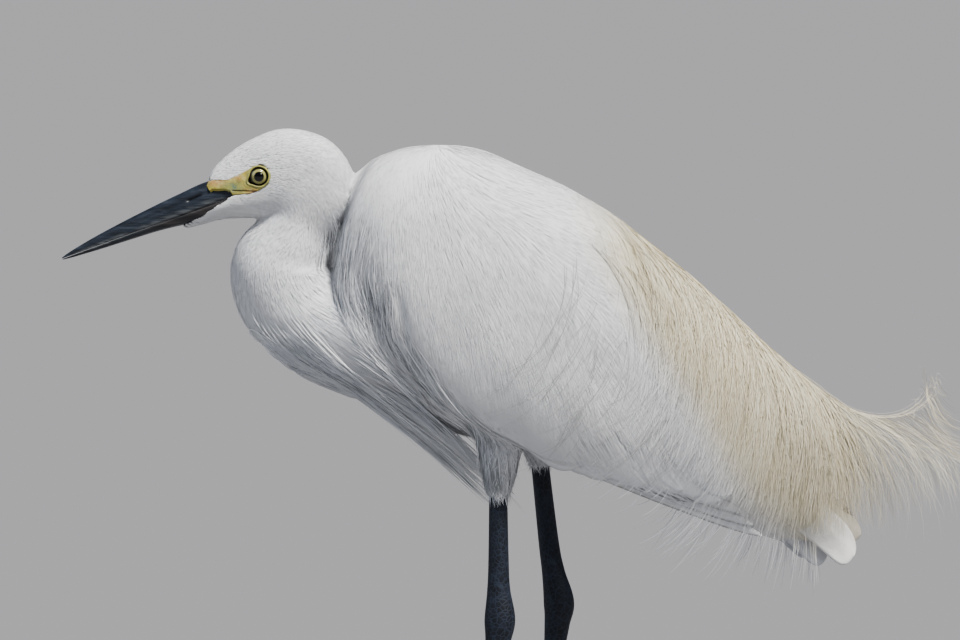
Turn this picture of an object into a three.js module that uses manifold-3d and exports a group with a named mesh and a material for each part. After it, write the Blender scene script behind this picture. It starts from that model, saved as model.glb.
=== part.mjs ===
// A life-size little egret in breeding plumes, standing on both feet with its neck drawn in.
// Millimetres, +Z up. The bird faces -X, its left side faces -Y, and its soles rest on z = 0.
// The body has a frame of its own: a runs from the shoulders to the tail, h runs up out of the back.
import * as THREE from "three";
import { mergeVertices } from "three/addons/utils/BufferGeometryUtils.js";
import Module from "manifold-3d";

const wasm = await Module();
wasm.setup();

// Driving dimensions of the whole bird.
const gap = 0.3;
const room = 0.4;
const billSlope = THREE.MathUtils.degToRad(20);
const billTip = new THREE.Vector3(-227.8, 0, 284.8);
const bodySlope = THREE.MathUtils.degToRad(28);
const shoulder = new THREE.Vector3(-60, 0, 282);
const eyeRadius = 6;
const legSpacing = 42;
const sections = 2.4;

// Directions of the body frame and of the bill frame.
const alongBody = new THREE.Vector3(Math.cos(bodySlope), 0, -Math.sin(bodySlope));
const outOfBack = new THREE.Vector3(Math.sin(bodySlope), 0, Math.cos(bodySlope));
const alongBill = new THREE.Vector3(Math.cos(billSlope), 0, Math.sin(billSlope));
const aboveBill = new THREE.Vector3(-Math.sin(billSlope), 0, Math.cos(billSlope));

// Stations of the plumage's outer surface: a, top, bottom, half width, height of the widest point.
const outline = [
  [-34, 37, 31, 3, 34],
  [-31, 45, 16, 17, 30],
  [-24, 54, -8, 28, 24],
  [-13, 63.5, -34, 38, 18],
  [0, 71.5, -50, 44, 14],
  [20, 76.5, -60, 49, 11],
  [55, 79, -66, 51, 9],
  [90, 78.5, -69, 51, 6],
  [124, 72, -68, 47, 3],
  [164, 63, -61, 40, 1],
  [204, 53, -55, 33, 0],
  [243, 46, -47, 30, 0],
  [285, 45, -36, 28, 2],
  [330, 42, -24, 24, 6],
];

// Stations of the body under its wings and mantle, in the same five columns.
const torsoStations = [
  [-33.8, 37, 31, 3, 34],
  [-31, 44.6, 17, 16, 30],
  [-26, 50.5, -2, 24.5, 26],
  [-13, 57, -31, 33, 18],
  [0, 61.5, -46, 37, 14],
  [20, 65.5, -57, 40, 10],
  [55, 67, -61, 41, 7],
  [85, 65, -57, 40, 5],
  [115, 58, -48, 35, 3],
  [145, 46, -36, 27, 2],
  [175, 32, -24, 19, 1],
  [203, 17, -13, 12, 2],
  [210, 11, -7, 7, 3],
];

// The head's stations in world x: x, top, bottom, half width, height of the widest point.
const headStations = [
  [-167.5, 303, 301.2, 1.2, 302],
  [-162, 310, 300.9, 5.2, 305],
  [-152.4, 324.4, 303, 8.2, 312],
  [-149, 331, 304, 9.2, 313],
  [-143, 337.5, 305.3, 10.6, 315],
  [-135, 344, 305.9, 12.4, 318],
  [-125, 349, 305.8, 14.2, 321],
  [-113, 352.4, 304, 16.2, 324],
  [-101, 351.6, 300, 17.2, 325],
  [-90, 347, 297, 16.6, 324],
  [-81, 338.5, 302, 12.5, 322],
  [-76.5, 330.5, 310, 7, 321],
  [-74.6, 326, 317, 2.5, 321.5],
];

// The neck, from inside the skull down to the bend and back into the breast: x, z, half depth, half width.
const neckStations = [
  [-96, 322, 17, 14],
  [-104.5, 309, 20, 16],
  [-112, 296, 24, 18],
  [-114.6, 280, 26.4, 20.5],
  [-107, 262, 27, 24],
  [-91, 249, 25.6, 29],
  [-72, 239, 24.5, 32],
  [-50, 231, 21, 29],
  [-30, 225, 14, 23],
];
const neckSplit = 276;
const breastSplit = { x: -95.5, z: 252, slopeX: 0.943, slopeZ: -0.331 };

// The fold of skin that closes the notch between the nape and the shoulders.
const napeFold = { x: -83.5, z: 301, depth: 8.5, halfWidth: 11, height: 29 };

// The bill's stations from the tip: distance, height of the culmen, depth of the lower jaw, half width.
const billStations = [
  [0.3, 0.5, 0.4, 0.5],
  [4, 1.6, 0.9, 1.2],
  [11, 3.1, 1.4, 2.1],
  [21, 4.9, 2.0, 3.0],
  [37, 7.2, 2.7, 4.2],
  [53, 9.1, 3.5, 5.5],
  [69, 10.7, 5.4, 7.0],
  [84.5, 11.8, 8.0, 8.7],
  [99, 9.5, 7.0, 10.4],
];
const nostril = { x: -158.6, z: 316.4, length: 9, height: 1.3, depth: 2.2 };

// The side view of the line where the feathered face and lores meet the bill.
const faceLine = [
  [-152.4, 324.5],
  [-149.2, 319.8],
  [-137.3, 320.6],
  [-138.3, 316.7],
  [-153.4, 308.9],
  [-166.4, 301.7],
];
const faceLineCentre = { x: -153.4, z: 315.1 };
const faceLineShrink = 0.93;

// The bare lore between the bill and the eye, and the mouth line that runs on below it.
const lore = [
  [-154, 326],
  [-148.5, 326.5],
  [-140, 327.5],
  [-132.5, 330.2],
  [-124.8, 328.2],
  [-125.5, 321.6],
  [-137, 320.2],
  [-150, 319.4],
];
const loreDepth = 0.7;
const mouthEnd = [-126.5, 320.3];

// The eyes and the rims of their lids.
const eyePlace = { x: -124.8, y: 9.6, z: 328.1 };
const lid = { radius: 5.1, thickness: 1.1, out: 3.9 };

// Legs: the left one is the nearer, and stands a little ahead of the right one.
const legs = {
  left: { side: -1, hip: [6, 262], thighEnd: [-1, 161], ankle: [-0.6, 98.8], foot: [-8, 0] },
  right: { side: 1, hip: [20, 256], thighEnd: [20.5, 169], ankle: [30.4, 104], foot: [22, 0] },
};
const toes = [
  { turn: -4, length: 58, radius: 3.3 },
  { turn: 20, length: 46, radius: 3.0 },
  { turn: -36, length: 50, radius: 3.0 },
  { turn: 176, length: 31, radius: 3.0 },
];

const colours = {
  plumage: { color: 0xf1f1ee, roughness: 0.85, metalness: 0 },
  plumes: { color: 0xe6dfc8, roughness: 0.85, metalness: 0 },
  bill: { color: 0x1c2126, roughness: 0.4, metalness: 0 },
  eye: { color: 0xd9cf7a, roughness: 0.08, metalness: 0 },
  leg: { color: 0x14171f, roughness: 0.55, metalness: 0 },
  foot: { color: 0xc9b23a, roughness: 0.6, metalness: 0 },
};

// The folded wing: a thin shell in front, with flight feathers and coverts that lie on it or leave it.
const wingShell = [
  [-13, 12],
  [11, -9],
  [25, -24],
  [49, -40],
  [76, -47],
  [108, -49],
  [140, -36],
  [158, -16],
  [158, 12],
  [140, 27],
  [100, 42],
  [50, 52],
  [10, 48],
  [-10, 34],
];
const wingThickness = [
  [-13, 5],
  [40, 8],
  [120, 8],
  [170, 4.5],
];
const shellInset = 1.7;
const mantleInset = 0.3;

// Tiers of the wing, innermost first. Roots, tips, half widths and lifts run from the first to the last.
const wingTiers = [
  {
    count: 4,
    roots: [[98, -44], [112, -26]],
    tips: [[239, -32.6], [210, -30]],
    halfWidths: [4.8, 6],
    lifts: [-3.4, -2.6],
    bow: -3,
    profile: "flight",
  },
  {
    count: 7,
    roots: [[52, -24], [108, 8]],
    tips: [[138, -48.5], [210, -27]],
    halfWidths: [9.4, 10.6],
    lifts: [-3.0, -1.5],
    bow: -4,
    profile: "flight",
  },
  {
    count: 4,
    roots: [[96, 8], [112, 30]],
    tips: [[213, -19], [203, 6]],
    halfWidths: [10.5, 9],
    lifts: [-2.9, -0.7],
    bow: 4,
    profile: "flight",
  },
  {
    count: 6,
    roots: [[56, -26], [108, 30]],
    tips: [[102, -52], [168, 14]],
    halfWidths: [9.8, 10.8],
    lifts: [-3.0, -0.1],
    bow: -2,
    profile: "covert",
  },
  {
    count: 5,
    roots: [[36, -16], [76, 35]],
    tips: [[68, -46], [126, 26]],
    halfWidths: [10.2, 11.2],
    lifts: [-3.0, 0.2],
    bow: -2,
    profile: "covert",
  },
  {
    count: 5,
    roots: [[16, -4], [44, 38]],
    tips: [[38, -30], [88, 36]],
    halfWidths: [8.6, 10],
    lifts: [-3.2, 0.3],
    bow: -1,
    profile: "covert",
  },
];

// Outlines of single feathers and locks: place along the length, share of the half width, share of the sink.
const profiles = {
  flight: [
    [0, 0.5, 1],
    [0.5, 0.95, 1],
    [0.93, 0.8, 0],
    [1, 0.2, 0],
  ],
  covert: [
    [0, 0.6, 1],
    [0.5, 1, 1],
    [0.85, 0.9, 1],
    [1, 0.25, 1],
  ],
  strand: [
    [0, 0.5],
    [0.34, 1],
    [0.66, 0.8],
    [0.88, 0.36],
    [1, 0.06],
  ],
  plume: [
    [0, 0.5],
    [0.28, 0.95],
    [0.54, 1],
    [0.74, 0.74],
    [0.9, 0.34],
    [1, 0.06],
  ],
  tail: [
    [0, 0.5],
    [0.5, 0.95],
    [0.92, 0.9],
    [1, 0.3],
  ],
  lock: [
    [0, 0.6],
    [0.35, 1],
    [0.72, 0.7],
    [1, 0.08],
  ],
};

// The tail: a core of coverts, and the tail feathers stacked from the middle pair out to both sides.
const tailStations = [
  [204, 8, -14, 9, -3],
  [216, 6.5, -23, 13, -6],
  [230, 3, -29, 15, -9],
  [246, -3, -31, 15, -14],
  [262, -10, -30, 13, -19],
  [275, -18, -27, 8, -23],
];
const tailFeathers = { pairs: 4, root: 208, tip: 285, spread: 21, drop: 25, halfWidth: 7.6 };

// The mantle's own plumage between the wings, and the locks of long plumes that leave it.
const mantleOutline = [
  [-27, 120],
  [-27, 28],
  [-10.3, 34.5],
  [10, 48.4],
  [50, 52.4],
  [100, 42.4],
  [140, 27.4],
  [166, 20],
  [192, 60],
  [192, 120],
];
const plumeLayers = [
  {
    lanes: 4,
    angles: [34, 60],
    lift: -14,
    start: [118, 146],
    end: [268, 300],
    halfWidth: 7.4,
    curl: 6,
  },
  {
    lanes: 7,
    angles: [44, 112],
    lift: -6,
    start: [96, 124],
    end: [262, 314],
    halfWidth: 8.6,
    curl: 14,
  },
  {
    lanes: 12,
    angles: [52, 132],
    lift: -0.7,
    start: [46, 80],
    end: [256, 328],
    halfWidth: 9.2,
    curl: 32,
  },
];

// Loose plumes of the breast, spread over its underside by their angle from its lowest line.
const breastPlumes = {
  lanes: 9,
  spread: 66,
  starts: [-100, -92],
  tips: { x: 16, y: 22, z: 135 },
  halfWidth: 5.6,
};
const flankHalfWidth = 6;
const flankPlumes = [
  { angle: 72, from: [4, -43], to: [70, -62] },
  { angle: 86, from: [-3, -33], to: [50, -55] },
];

const egret = new THREE.Group();

// A steady stream of numbers between -1 and 1.
function seeded(seed) {
  let state = seed;
  return () => {
    state = (state * 1664525 + 1013904223) % 4294967296;
    return state / 2147483648 - 1;
  };
}

// A closed solid from points and triangles, turned inside out where its faces point inwards.
function solidOf(positions, triangles) {
  const make = (order) =>
    new wasm.Manifold(
      new wasm.Mesh({
        numProp: 3,
        vertProperties: new Float32Array(positions),
        triVerts: new Uint32Array(order),
      }),
    );
  const made = make(triangles);
  if (made.volume() > 0) return made;
  const turned = [];
  for (let i = 0; i < triangles.length; i += 3)
    turned.push(triangles[i], triangles[i + 2], triangles[i + 1]);
  return make(turned);
}

// A closed solid from a three.js geometry.
function solidOfGeometry(geometry) {
  const bare = geometry.clone();
  bare.deleteAttribute("normal");
  bare.deleteAttribute("uv");
  const merged = mergeVertices(bare, 1e-4);
  return solidOf(merged.attributes.position.array, [...merged.index.array]);
}

// A closed solid through rings with the same number of points. A strip between two points splits either way.
function ringSolid(rings, splits = []) {
  const sides = rings[0].length;
  const positions = rings.flat().flatMap((p) => [p.x, p.y, p.z]);
  const triangles = [];
  for (let r = 0; r + 1 < rings.length; r++)
    for (let i = 0; i < sides; i++) {
      const j = (i + 1) % sides;
      const low = r * sides;
      const high = low + sides;
      if (splits[i]) triangles.push(low + i, low + j, high + i, low + j, high + j, high + i);
      else triangles.push(low + i, low + j, high + j, low + i, high + j, high + i);
    }
  const last = (rings.length - 1) * sides;
  for (let i = 1; i + 1 < sides; i++) {
    triangles.push(0, i + 1, i);
    triangles.push(last, last + i, last + i + 1);
  }
  return solidOf(positions, triangles);
}

// A smooth value from a table at place s: a cubic through its rows, held at both ends.
function smooth(table, s, column) {
  const last = table.length - 1;
  if (s <= table[0][0]) return table[0][column];
  if (s >= table[last][0]) return table[last][column];
  const i = table.findIndex((row) => row[0] > s) - 1;
  const slope = (j) => {
    const before = table[Math.max(j - 1, 0)];
    const after = table[Math.min(j + 1, last)];
    return (after[column] - before[column]) / (after[0] - before[0]);
  };
  const width = table[i + 1][0] - table[i][0];
  const t = (s - table[i][0]) / width;
  const square = t * t;
  const cube = square * t;
  return (
    (2 * cube - 3 * square + 1) * table[i][column] +
    (cube - 2 * square + t) * width * slope(i) +
    (3 * square - 2 * cube) * table[i + 1][column] +
    (cube - square) * width * slope(i + 1)
  );
}

// The body frame's point at a, y and h, in world space.
function bodyPoint(a, y, h) {
  return shoulder.clone().addScaledVector(alongBody, a).addScaledVector(outOfBack, h).setY(y);
}

const signedPower = (x, power) => Math.sign(x) * Math.abs(x) ** power;
const mix = (from, to, t) => from + (to - from) * t;
const ease = (from, to, x) => THREE.MathUtils.smoothstep(x, from, to);

// A point of an egg-shaped section: angle 0 is its top, and a quarter turn is its +Y side.
function eggPoint(stations, s, angle, grow, place) {
  const [top, bottom, half, widest] = [1, 2, 3, 4].map((column) => smooth(stations, s, column));
  const rise = signedPower(Math.cos(angle), 2 / sections);
  const out = signedPower(Math.sin(angle), 2 / sections);
  const height = widest + rise * (rise > 0 ? top - widest + grow : widest - bottom + grow);
  return place(s, out * (half + grow), height);
}

// A solid with egg-shaped sections at the given places.
function eggSolid(stations, places, sides, grow, place) {
  const rings = places.map((s) =>
    Array.from({ length: sides }, (_, i) =>
      eggPoint(stations, s, (2 * Math.PI * i) / sides, grow, place),
    ),
  );
  return ringSolid(rings);
}

// The table's own places, each stretch shared out in the given number of steps.
function placesOf(stations, share, first = 0, last = stations.length - 1) {
  const places = [];
  for (let i = first; i < last; i++)
    for (let k = 0; k < share; k++)
      places.push(stations[i][0] + ((stations[i + 1][0] - stations[i][0]) * k) / share);
  places.push(stations[last][0]);
  return places;
}

// A tube along a smooth curve through rows of x, y, z, half size along the reference, half size across it.
function tubeSolid(rows, reference, steps, sides) {
  const curve = new THREE.CatmullRomCurve3(rows.map((r) => new THREE.Vector3(r[0], r[1], r[2])));
  const sizes = rows.map((r, i) => [i / (rows.length - 1), r[3], r[4]]);
  const rings = [];
  for (let k = 0; k <= steps; k++) {
    const t = k / steps;
    const centre = curve.getPoint(t);
    const tangent = curve.getTangent(t);
    const first = reference.clone().addScaledVector(tangent, -reference.dot(tangent)).normalize();
    const second = tangent.clone().cross(first);
    const half = [smooth(sizes, t, 1), smooth(sizes, t, 2)];
    rings.push(
      Array.from({ length: sides }, (_, i) => {
        const angle = (2 * Math.PI * i) / sides;
        return centre
          .clone()
          .addScaledVector(first, Math.cos(angle) * half[0])
          .addScaledVector(second, Math.sin(angle) * half[1]);
      }),
    );
  }
  return ringSolid(rings);
}

// An upright slab between two y values whose side view is a closed line of points.
function sideSlab(points, nearY, farY) {
  const shape = new THREE.Shape(points.map((p) => new THREE.Vector2(p.x, p.z)));
  const slab = new THREE.ExtrudeGeometry(shape, { depth: farY - nearY, bevelEnabled: false });
  slab.rotateX(Math.PI / 2).translate(0, farY, 0);
  return solidOfGeometry(slab);
}

// A solid ellipsoid.
function ellipsoid(centre, halfX, halfY, halfZ, around, down) {
  const ball = new THREE.SphereGeometry(1, around, down);
  ball.scale(halfX, halfY, halfZ).translate(centre.x, centre.y, centre.z);
  return solidOfGeometry(ball);
}

// One feather or lock. Its path gives a point and the way out of the bird at each place along its length.
// A vane has a ridge along its outer face and thin square edges; a lock is lens-shaped with sharp edges.
function feather(path, profile, shape, grow = 0) {
  const { halfWidth, thick, roll = 0, ridge = 0.35, sink = 0, lens = false } = shape;
  const rings = profile.map(([t, share, sunk = 0], k) => {
    const end = k === 0 ? -grow : k === profile.length - 1 ? grow : 0;
    const { at, out } = path(t);
    const ahead = path(t + 0.01).at.sub(path(t - 0.01).at).normalize();
    const across = ahead.clone().cross(out).normalize().applyAxisAngle(ahead, roll);
    const up = across.clone().cross(ahead).normalize();
    if (up.dot(out) < 0) up.negate();
    const half = halfWidth * share + grow;
    const taper = 0.55 + 0.45 * share;
    const body = (thick * taper) / 2 + grow;
    const place = (sideways, rise) =>
      at.clone().addScaledVector(across, sideways).addScaledVector(up, rise).addScaledVector(ahead, end);
    if (lens) return [place(-half, 0), place(0, body), place(half, 0), place(0, -body)];
    const under = [place(half, -body - sink * sunk), place(-half, -body - sink * sunk)];
    const shaft = ridge > 0 ? [place(0, body + ridge)] : [];
    return [place(-half, body), ...shaft, place(half, body), ...under];
  });
  if (lens) return ringSolid(rings, [0, 0, 1, 1]);
  return ringSolid(rings, ridge > 0 ? [0, 0, 0, 1, 0] : [0, 0, 1, 0]);
}

const joined = (solids) => solids.reduce((sum, solid) => sum.add(solid));
const above = (solid, z) => solid.trimByPlane([0, 0, 1], z);
const below = (solid, z) => solid.trimByPlane([0, 0, -1], -z);

// The largest closed surface of a solid, which drops loose scraps.
function largest(solid) {
  return solid.decompose().sort((a, b) => b.volume() - a.volume())[0];
}

// Adds one named mesh to the bird.
function addNode(name, solid, colour) {
  const mesh = largest(solid).getMesh();
  const count = mesh.numVert;
  const positions = new Float32Array(count * 3);
  for (let i = 0; i < count; i++)
    positions.set(mesh.vertProperties.subarray(i * mesh.numProp, i * mesh.numProp + 3), i * 3);
  const geometry = new THREE.BufferGeometry();
  geometry.setAttribute("position", new THREE.BufferAttribute(positions, 3));
  geometry.setIndex(new THREE.BufferAttribute(mesh.triVerts, 1));
  geometry.computeVertexNormals();
  const node = new THREE.Mesh(geometry, new THREE.MeshStandardMaterial(colours[colour]));
  node.name = name;
  egret.add(node);
}

// The point of an egg-shaped surface's side at a and h, lifted along its own normal.
function surfacePoint(stations, side, a, h, lift) {
  const halfAt = (s, height) => {
    const [top, bottom, half, widest] = [1, 2, 3, 4].map((column) => smooth(stations, s, column));
    const reach = height > widest ? top - widest : widest - bottom;
    const share = Math.min(Math.abs(height - widest) / reach, 0.985);
    return half * (1 - share ** sections) ** (1 / sections);
  };
  const y = halfAt(a, h);
  const alongA = (halfAt(a + 1, h) - halfAt(a - 1, h)) / 2;
  const alongH = (halfAt(a, h + 1) - halfAt(a, h - 1)) / 2;
  const size = Math.hypot(alongA, 1, alongH);
  const at = bodyPoint(a - (alongA / size) * lift, side * (y + lift / size), h - (alongH / size) * lift);
  const out = bodyPoint(-alongA / size, side / size, -alongH / size);
  return { at, out: out.sub(shoulder).setY(side / size).normalize() };
}

// The point of the plumage's surface at a and an angle from its top, lifted along its own normal.
function backPoint(a, angle, lift) {
  const at = eggPoint(outline, a, angle, 0, bodyPoint);
  const alongA = eggPoint(outline, a + 1, angle, 0, bodyPoint);
  alongA.sub(eggPoint(outline, a - 1, angle, 0, bodyPoint));
  const around = eggPoint(outline, a, angle + 0.06, 0, bodyPoint);
  around.sub(eggPoint(outline, a, angle - 0.06, 0, bodyPoint));
  const out = around.cross(alongA).normalize();
  const middle = bodyPoint(a, 0, smooth(outline, a, 4));
  if (out.dot(at.clone().sub(middle)) < 0) out.negate();
  return { at: at.addScaledVector(out, lift), out };
}

// The torso, and the same solid a little larger to cut its neighbours with.
const torsoPlaces = placesOf(torsoStations, 1);
const torso = eggSolid(torsoStations, torsoPlaces, 20, 0, bodyPoint);
const torsoRoom = eggSolid(torsoStations, torsoPlaces, 20, room, bodyPoint);

// The shell under the wing's feathers: the outer few millimetres of the plumage, within the wing's side view.
const outlinePlaces = placesOf(outline, 1, 0, 11);
const shellSolid = eggSolid(outline, outlinePlaces, 20, -shellInset, bodyPoint);
const mantleSolid = eggSolid(outline, outlinePlaces, 20, -mantleInset, bodyPoint);
const insideStations = outline.map(([a, top, bottom, half, widest]) => {
  const inset = smooth(wingThickness, a, 1);
  return [a, top + 5, bottom - 5, Math.max(half - inset, 1), widest];
});
const insideSolid = eggSolid(insideStations, outlinePlaces, 20, 0, bodyPoint);

// One folded wing with its tiers of feathers, or the room that it takes.
function makeWing(side, grow) {
  const points = wingShell.map(([a, h]) => bodyPoint(a, 0, h));
  const slab = side < 0 ? sideSlab(points, -80, -1) : sideSlab(points, 1, 80);
  const shell = shellSolid.intersect(slab).subtract(insideSolid);
  const draw = seeded(side < 0 ? 11 : 29);
  const feathers = wingTiers.flatMap((tier, row) =>
    Array.from({ length: tier.count }, (_, i) => {
      const s = i / (tier.count - 1);
      const root = [0, 1].map((k) => mix(tier.roots[0][k], tier.roots[1][k], s) + draw() * 0.8);
      const tip = [0, 1].map((k) => mix(tier.tips[0][k], tier.tips[1][k], s) + draw() * 1.2);
      const bow = tier.bow + draw() * 0.6;
      const long = Math.hypot(tip[0] - root[0], tip[1] - root[1]);
      const path = (t) => {
        const sideways = (bow * 4 * t * (1 - t)) / long;
        return surfacePoint(
          outline,
          side,
          mix(root[0], tip[0], t) - (tip[1] - root[1]) * sideways,
          mix(root[1], tip[1], t) + (tip[0] - root[0]) * sideways,
          mix(tier.lifts[0], tier.lifts[1], Math.max(t, 0) ** 0.7),
        );
      };
      const shape = {
        halfWidth: mix(tier.halfWidths[0], tier.halfWidths[1], s),
        thick: 0.6,
        roll: side * 0.11,
        ridge: row ? 0.35 : 0.25,
        sink: row ? 2.4 : 0.5,
      };
      return feather(path, profiles[tier.profile], shape, grow);
    }),
  );
  return joined([shell, ...feathers]);
}

// The tail: its core of coverts with the stacked tail feathers, or the room that it takes.
function makeTail(grow) {
  const core = eggSolid(tailStations, placesOf(tailStations, 1), 12, grow, bodyPoint);
  const { pairs, root, tip, spread, drop, halfWidth } = tailFeathers;
  const draw = seeded(5);
  const feathers = [];
  for (let i = pairs - 1; i >= 0; i--)
    for (const side of [-1, 1]) {
      const share = (i + 0.5) / pairs;
      const lean = share * 1.25;
      const across = (t) => side * spread * Math.sin(lean) * mix(0.45, 1, t);
      const long = tip + 5 * share + draw();
      const path = (t) => {
        const fall = drop * (1 - Math.cos(lean)) * mix(0.5, 1, t);
        const height = 2 - 5 * t - fall - i * 0.7 - (side > 0 ? 0.5 : 0);
        const at = bodyPoint(mix(root, long, t), across(t), height);
        const out = outOfBack.clone().multiplyScalar(Math.cos(lean)).setY(side * Math.sin(lean));
        return { at, out };
      };
      const shape = { halfWidth, thick: 0.9, roll: -side * 0.1, ridge: 0 };
      feathers.push(feather(path, profiles.tail, shape, grow));
    }
  return joined([core, ...feathers]);
}

// The mantle between the wings with its layers of long plumes.
function makeMantle() {
  const slab = sideSlab(mantleOutline.map(([a, h]) => bodyPoint(a, 0, h)), -80, 80);
  const core = mantleSolid.intersect(slab);
  const draw = seeded(3);
  const locks = plumeLayers.flatMap(({ lanes, angles, lift, start, end, halfWidth, curl }) =>
    Array.from({ length: lanes }, (_, i) => {
      const lane = (2 * i) / (lanes - 1) - 1;
      const from = mix(start[0], start[1], Math.abs(draw()));
      const to = mix(end[1], end[0], Math.min(1, Math.abs(lane) * 0.8 + Math.abs(draw()) * 0.35));
      const tipCurl = curl * (1 - 0.8 * Math.abs(lane)) * (1 + draw() * 0.35);
      const path = (t) => {
        const a = mix(from, to, t);
        const theta = THREE.MathUtils.degToRad(mix(angles[0], angles[1], ease(96, 290, a))) * lane;
        const overWing = ease(38, 54, THREE.MathUtils.radToDeg(Math.abs(theta))) * ease(-4, -1, lift);
        const raised = lift - 6 * (1 - ease(0, 0.2, t)) + 3 * overWing * (1 - 0.5 * ease(206, 236, a));
        const { at, out } = backPoint(a, theta, raised);
        const rise = Math.max(0, (t - 0.72) / 0.28);
        at.addScaledVector(outOfBack, tipCurl * rise * rise);
        at.addScaledVector(alongBody, -0.35 * tipCurl * rise ** 3);
        return { at, out };
      };
      const wide = halfWidth * (1 + draw() * 0.12);
      const shape = { halfWidth: wide, thick: 1.5, lens: true, roll: draw() * 0.1 };
      return feather(path, profiles.plume, shape);
    }),
  );
  return joined([core, ...locks]);
}

// A point of the lower breast's surface at x and an angle from its lowest line, lifted along its own normal.
function breastPoint(x, angle, lift) {
  const rows = neckStations.slice(4);
  const [z, depth, half] = [1, 2, 3].map((column) => smooth(rows, x, column));
  const slope = smooth(rows, x + 1, 1) - smooth(rows, x - 1, 1);
  const down = new THREE.Vector3(slope, 0, -2).normalize();
  const out = down.multiplyScalar(Math.cos(angle)).setY(Math.sin(angle));
  const reach = Math.hypot(Math.cos(angle) * depth, Math.sin(angle) * half);
  return new THREE.Vector3(x, 0, z).addScaledVector(out, reach + lift);
}

// Loose plumes that lie on the breast and hang free under the belly, and others along the flank.
function makeBreastPlumes() {
  const draw = seeded(17);
  const bend = (points, out, halfWidth) => {
    const curve = new THREE.CatmullRomCurve3(points);
    const path = (t) => ({ at: curve.getPoint(THREE.MathUtils.clamp(t, 0, 1)), out });
    return feather(path, profiles.strand, { halfWidth, thick: 1.5, lens: true, roll: draw() * 0.2 });
  };
  const { lanes, spread, starts, tips, halfWidth } = breastPlumes;
  const hanging = Array.from({ length: lanes }, (_, i) => {
    const lane = (2 * i) / (lanes - 1) - 1;
    const angle = THREE.MathUtils.degToRad(spread) * lane;
    const x = starts[i % 2] + draw() * 3;
    const long = mix(1, 0.6, Math.abs(lane) ** 0.7) * (1 - 0.1 * Math.abs(draw()));
    const tipZ = mix(194, tips.z, long) + 20 * lane * lane;
    const tip = new THREE.Vector3(mix(-60, tips.x, long), Math.sin(angle) * tips.y, tipZ);
    const points = [-3, 0.2, 0].map((lift, k) => breastPoint(x + 17 * k, angle, lift));
    const out = new THREE.Vector3(-0.5 * Math.cos(angle), Math.sin(angle), -0.86 * Math.cos(angle));
    return bend([...points, tip], out.normalize(), halfWidth);
  });
  const flank = [-1, 1].flatMap((side) =>
    flankPlumes.map(({ angle, from, to }) => {
      const turn = THREE.MathUtils.degToRad(angle) * side;
      const along = [0, 0.5, 1].map((t) =>
        surfacePoint(torsoStations, side, mix(from[0], to[0], t), mix(from[1], to[1], t), 1.6),
      );
      const points = [breastPoint(-90, turn, -3), ...along.map(({ at }) => at)];
      return bend(points, along[1].out, flankHalfWidth);
    }),
  );
  return [...hanging, ...flank];
}

// Legs and feet: thigh, shank, tarsus and foot of one side, cut from one upright solid.
function makeLeg({ side, hip, thighEnd, ankle, foot }) {
  const y = (side * legSpacing) / 2;
  const forward = new THREE.Vector3(1, 0, 0);
  const thigh = tubeSolid(
    [
      [hip[0], y, hip[1], 25, 12],
      [(hip[0] * 2 + thighEnd[0]) / 3, y, (hip[1] * 2 + thighEnd[1]) / 3, 20, 13],
      [thighEnd[0] + 1, y, thighEnd[1] + 18, 10.5, 9],
      [thighEnd[0], y, thighEnd[1], 5.8, 5.2],
    ],
    forward,
    6,
    10,
  );
  const shank = tubeSolid(
    [
      [thighEnd[0], y, thighEnd[1] + 12, 4.6, 3.9],
      [(thighEnd[0] + ankle[0]) / 2, y, (thighEnd[1] + ankle[1]) / 2, 5.3, 4.2],
      [(thighEnd[0] + ankle[0] * 3) / 4, y, (thighEnd[1] + ankle[1] * 3) / 4, 6, 4.6],
      [ankle[0] + 0.5, y, ankle[1], 8, 5.8],
      [ankle[0] - 0.5, y, ankle[1] - 12, 6.6, 5],
      [(ankle[0] * 2 + foot[0]) / 3, y, (ankle[1] * 2) / 3, 5, 4.2],
      [(ankle[0] + foot[0] * 3) / 4, y, ankle[1] / 4, 4.3, 4],
      [foot[0], y, 7, 5.2, 4.8],
      [foot[0], y, -2, 5.6, 5.4],
    ],
    forward,
    16,
    10,
  );
  const digits = toes.map((toe) => makeToe(toe, foot[0], y, side));
  const limb = above(joined([thigh, shank, ...digits]), 0);
  const cuts = [thighEnd[1] - 1, ankle[1], 10];
  return {
    thigh: joined([above(limb, cuts[0] + gap), ...makeThighLocks(side, y, thighEnd)]),
    shank: above(below(limb, cuts[0]), cuts[1] + gap),
    tarsus: above(below(limb, cuts[1]), cuts[2] + gap),
    foot: below(limb, cuts[2]),
  };
}

// Soft locks over the lower thigh, which end just above the bare shank.
function makeThighLocks(side, y, [endX, endZ]) {
  const draw = seeded(side < 0 ? 41 : 43);
  return Array.from({ length: 9 }, (_, i) => {
    const angle = (2 * Math.PI * (i + 0.3)) / 9;
    const out = new THREE.Vector3(Math.cos(angle), Math.sin(angle), 0);
    const length = 30 + draw() * 3;
    const path = (t) => {
      const spread = mix(8.2, 4.6, Math.max(t, 0) ** 1.3) + 1.1 * Math.sin(Math.PI * t);
      const wide = 1 / Math.hypot(out.x / 1.15, out.y / 0.9);
      const at = new THREE.Vector3(endX + 1 - t, y, endZ + length * (1 - t) + 1);
      return { at: at.addScaledVector(out, spread * wide), out };
    };
    return feather(path, profiles.lock, { halfWidth: 3.6, thick: 1.4, lens: true });
  });
}

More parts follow.
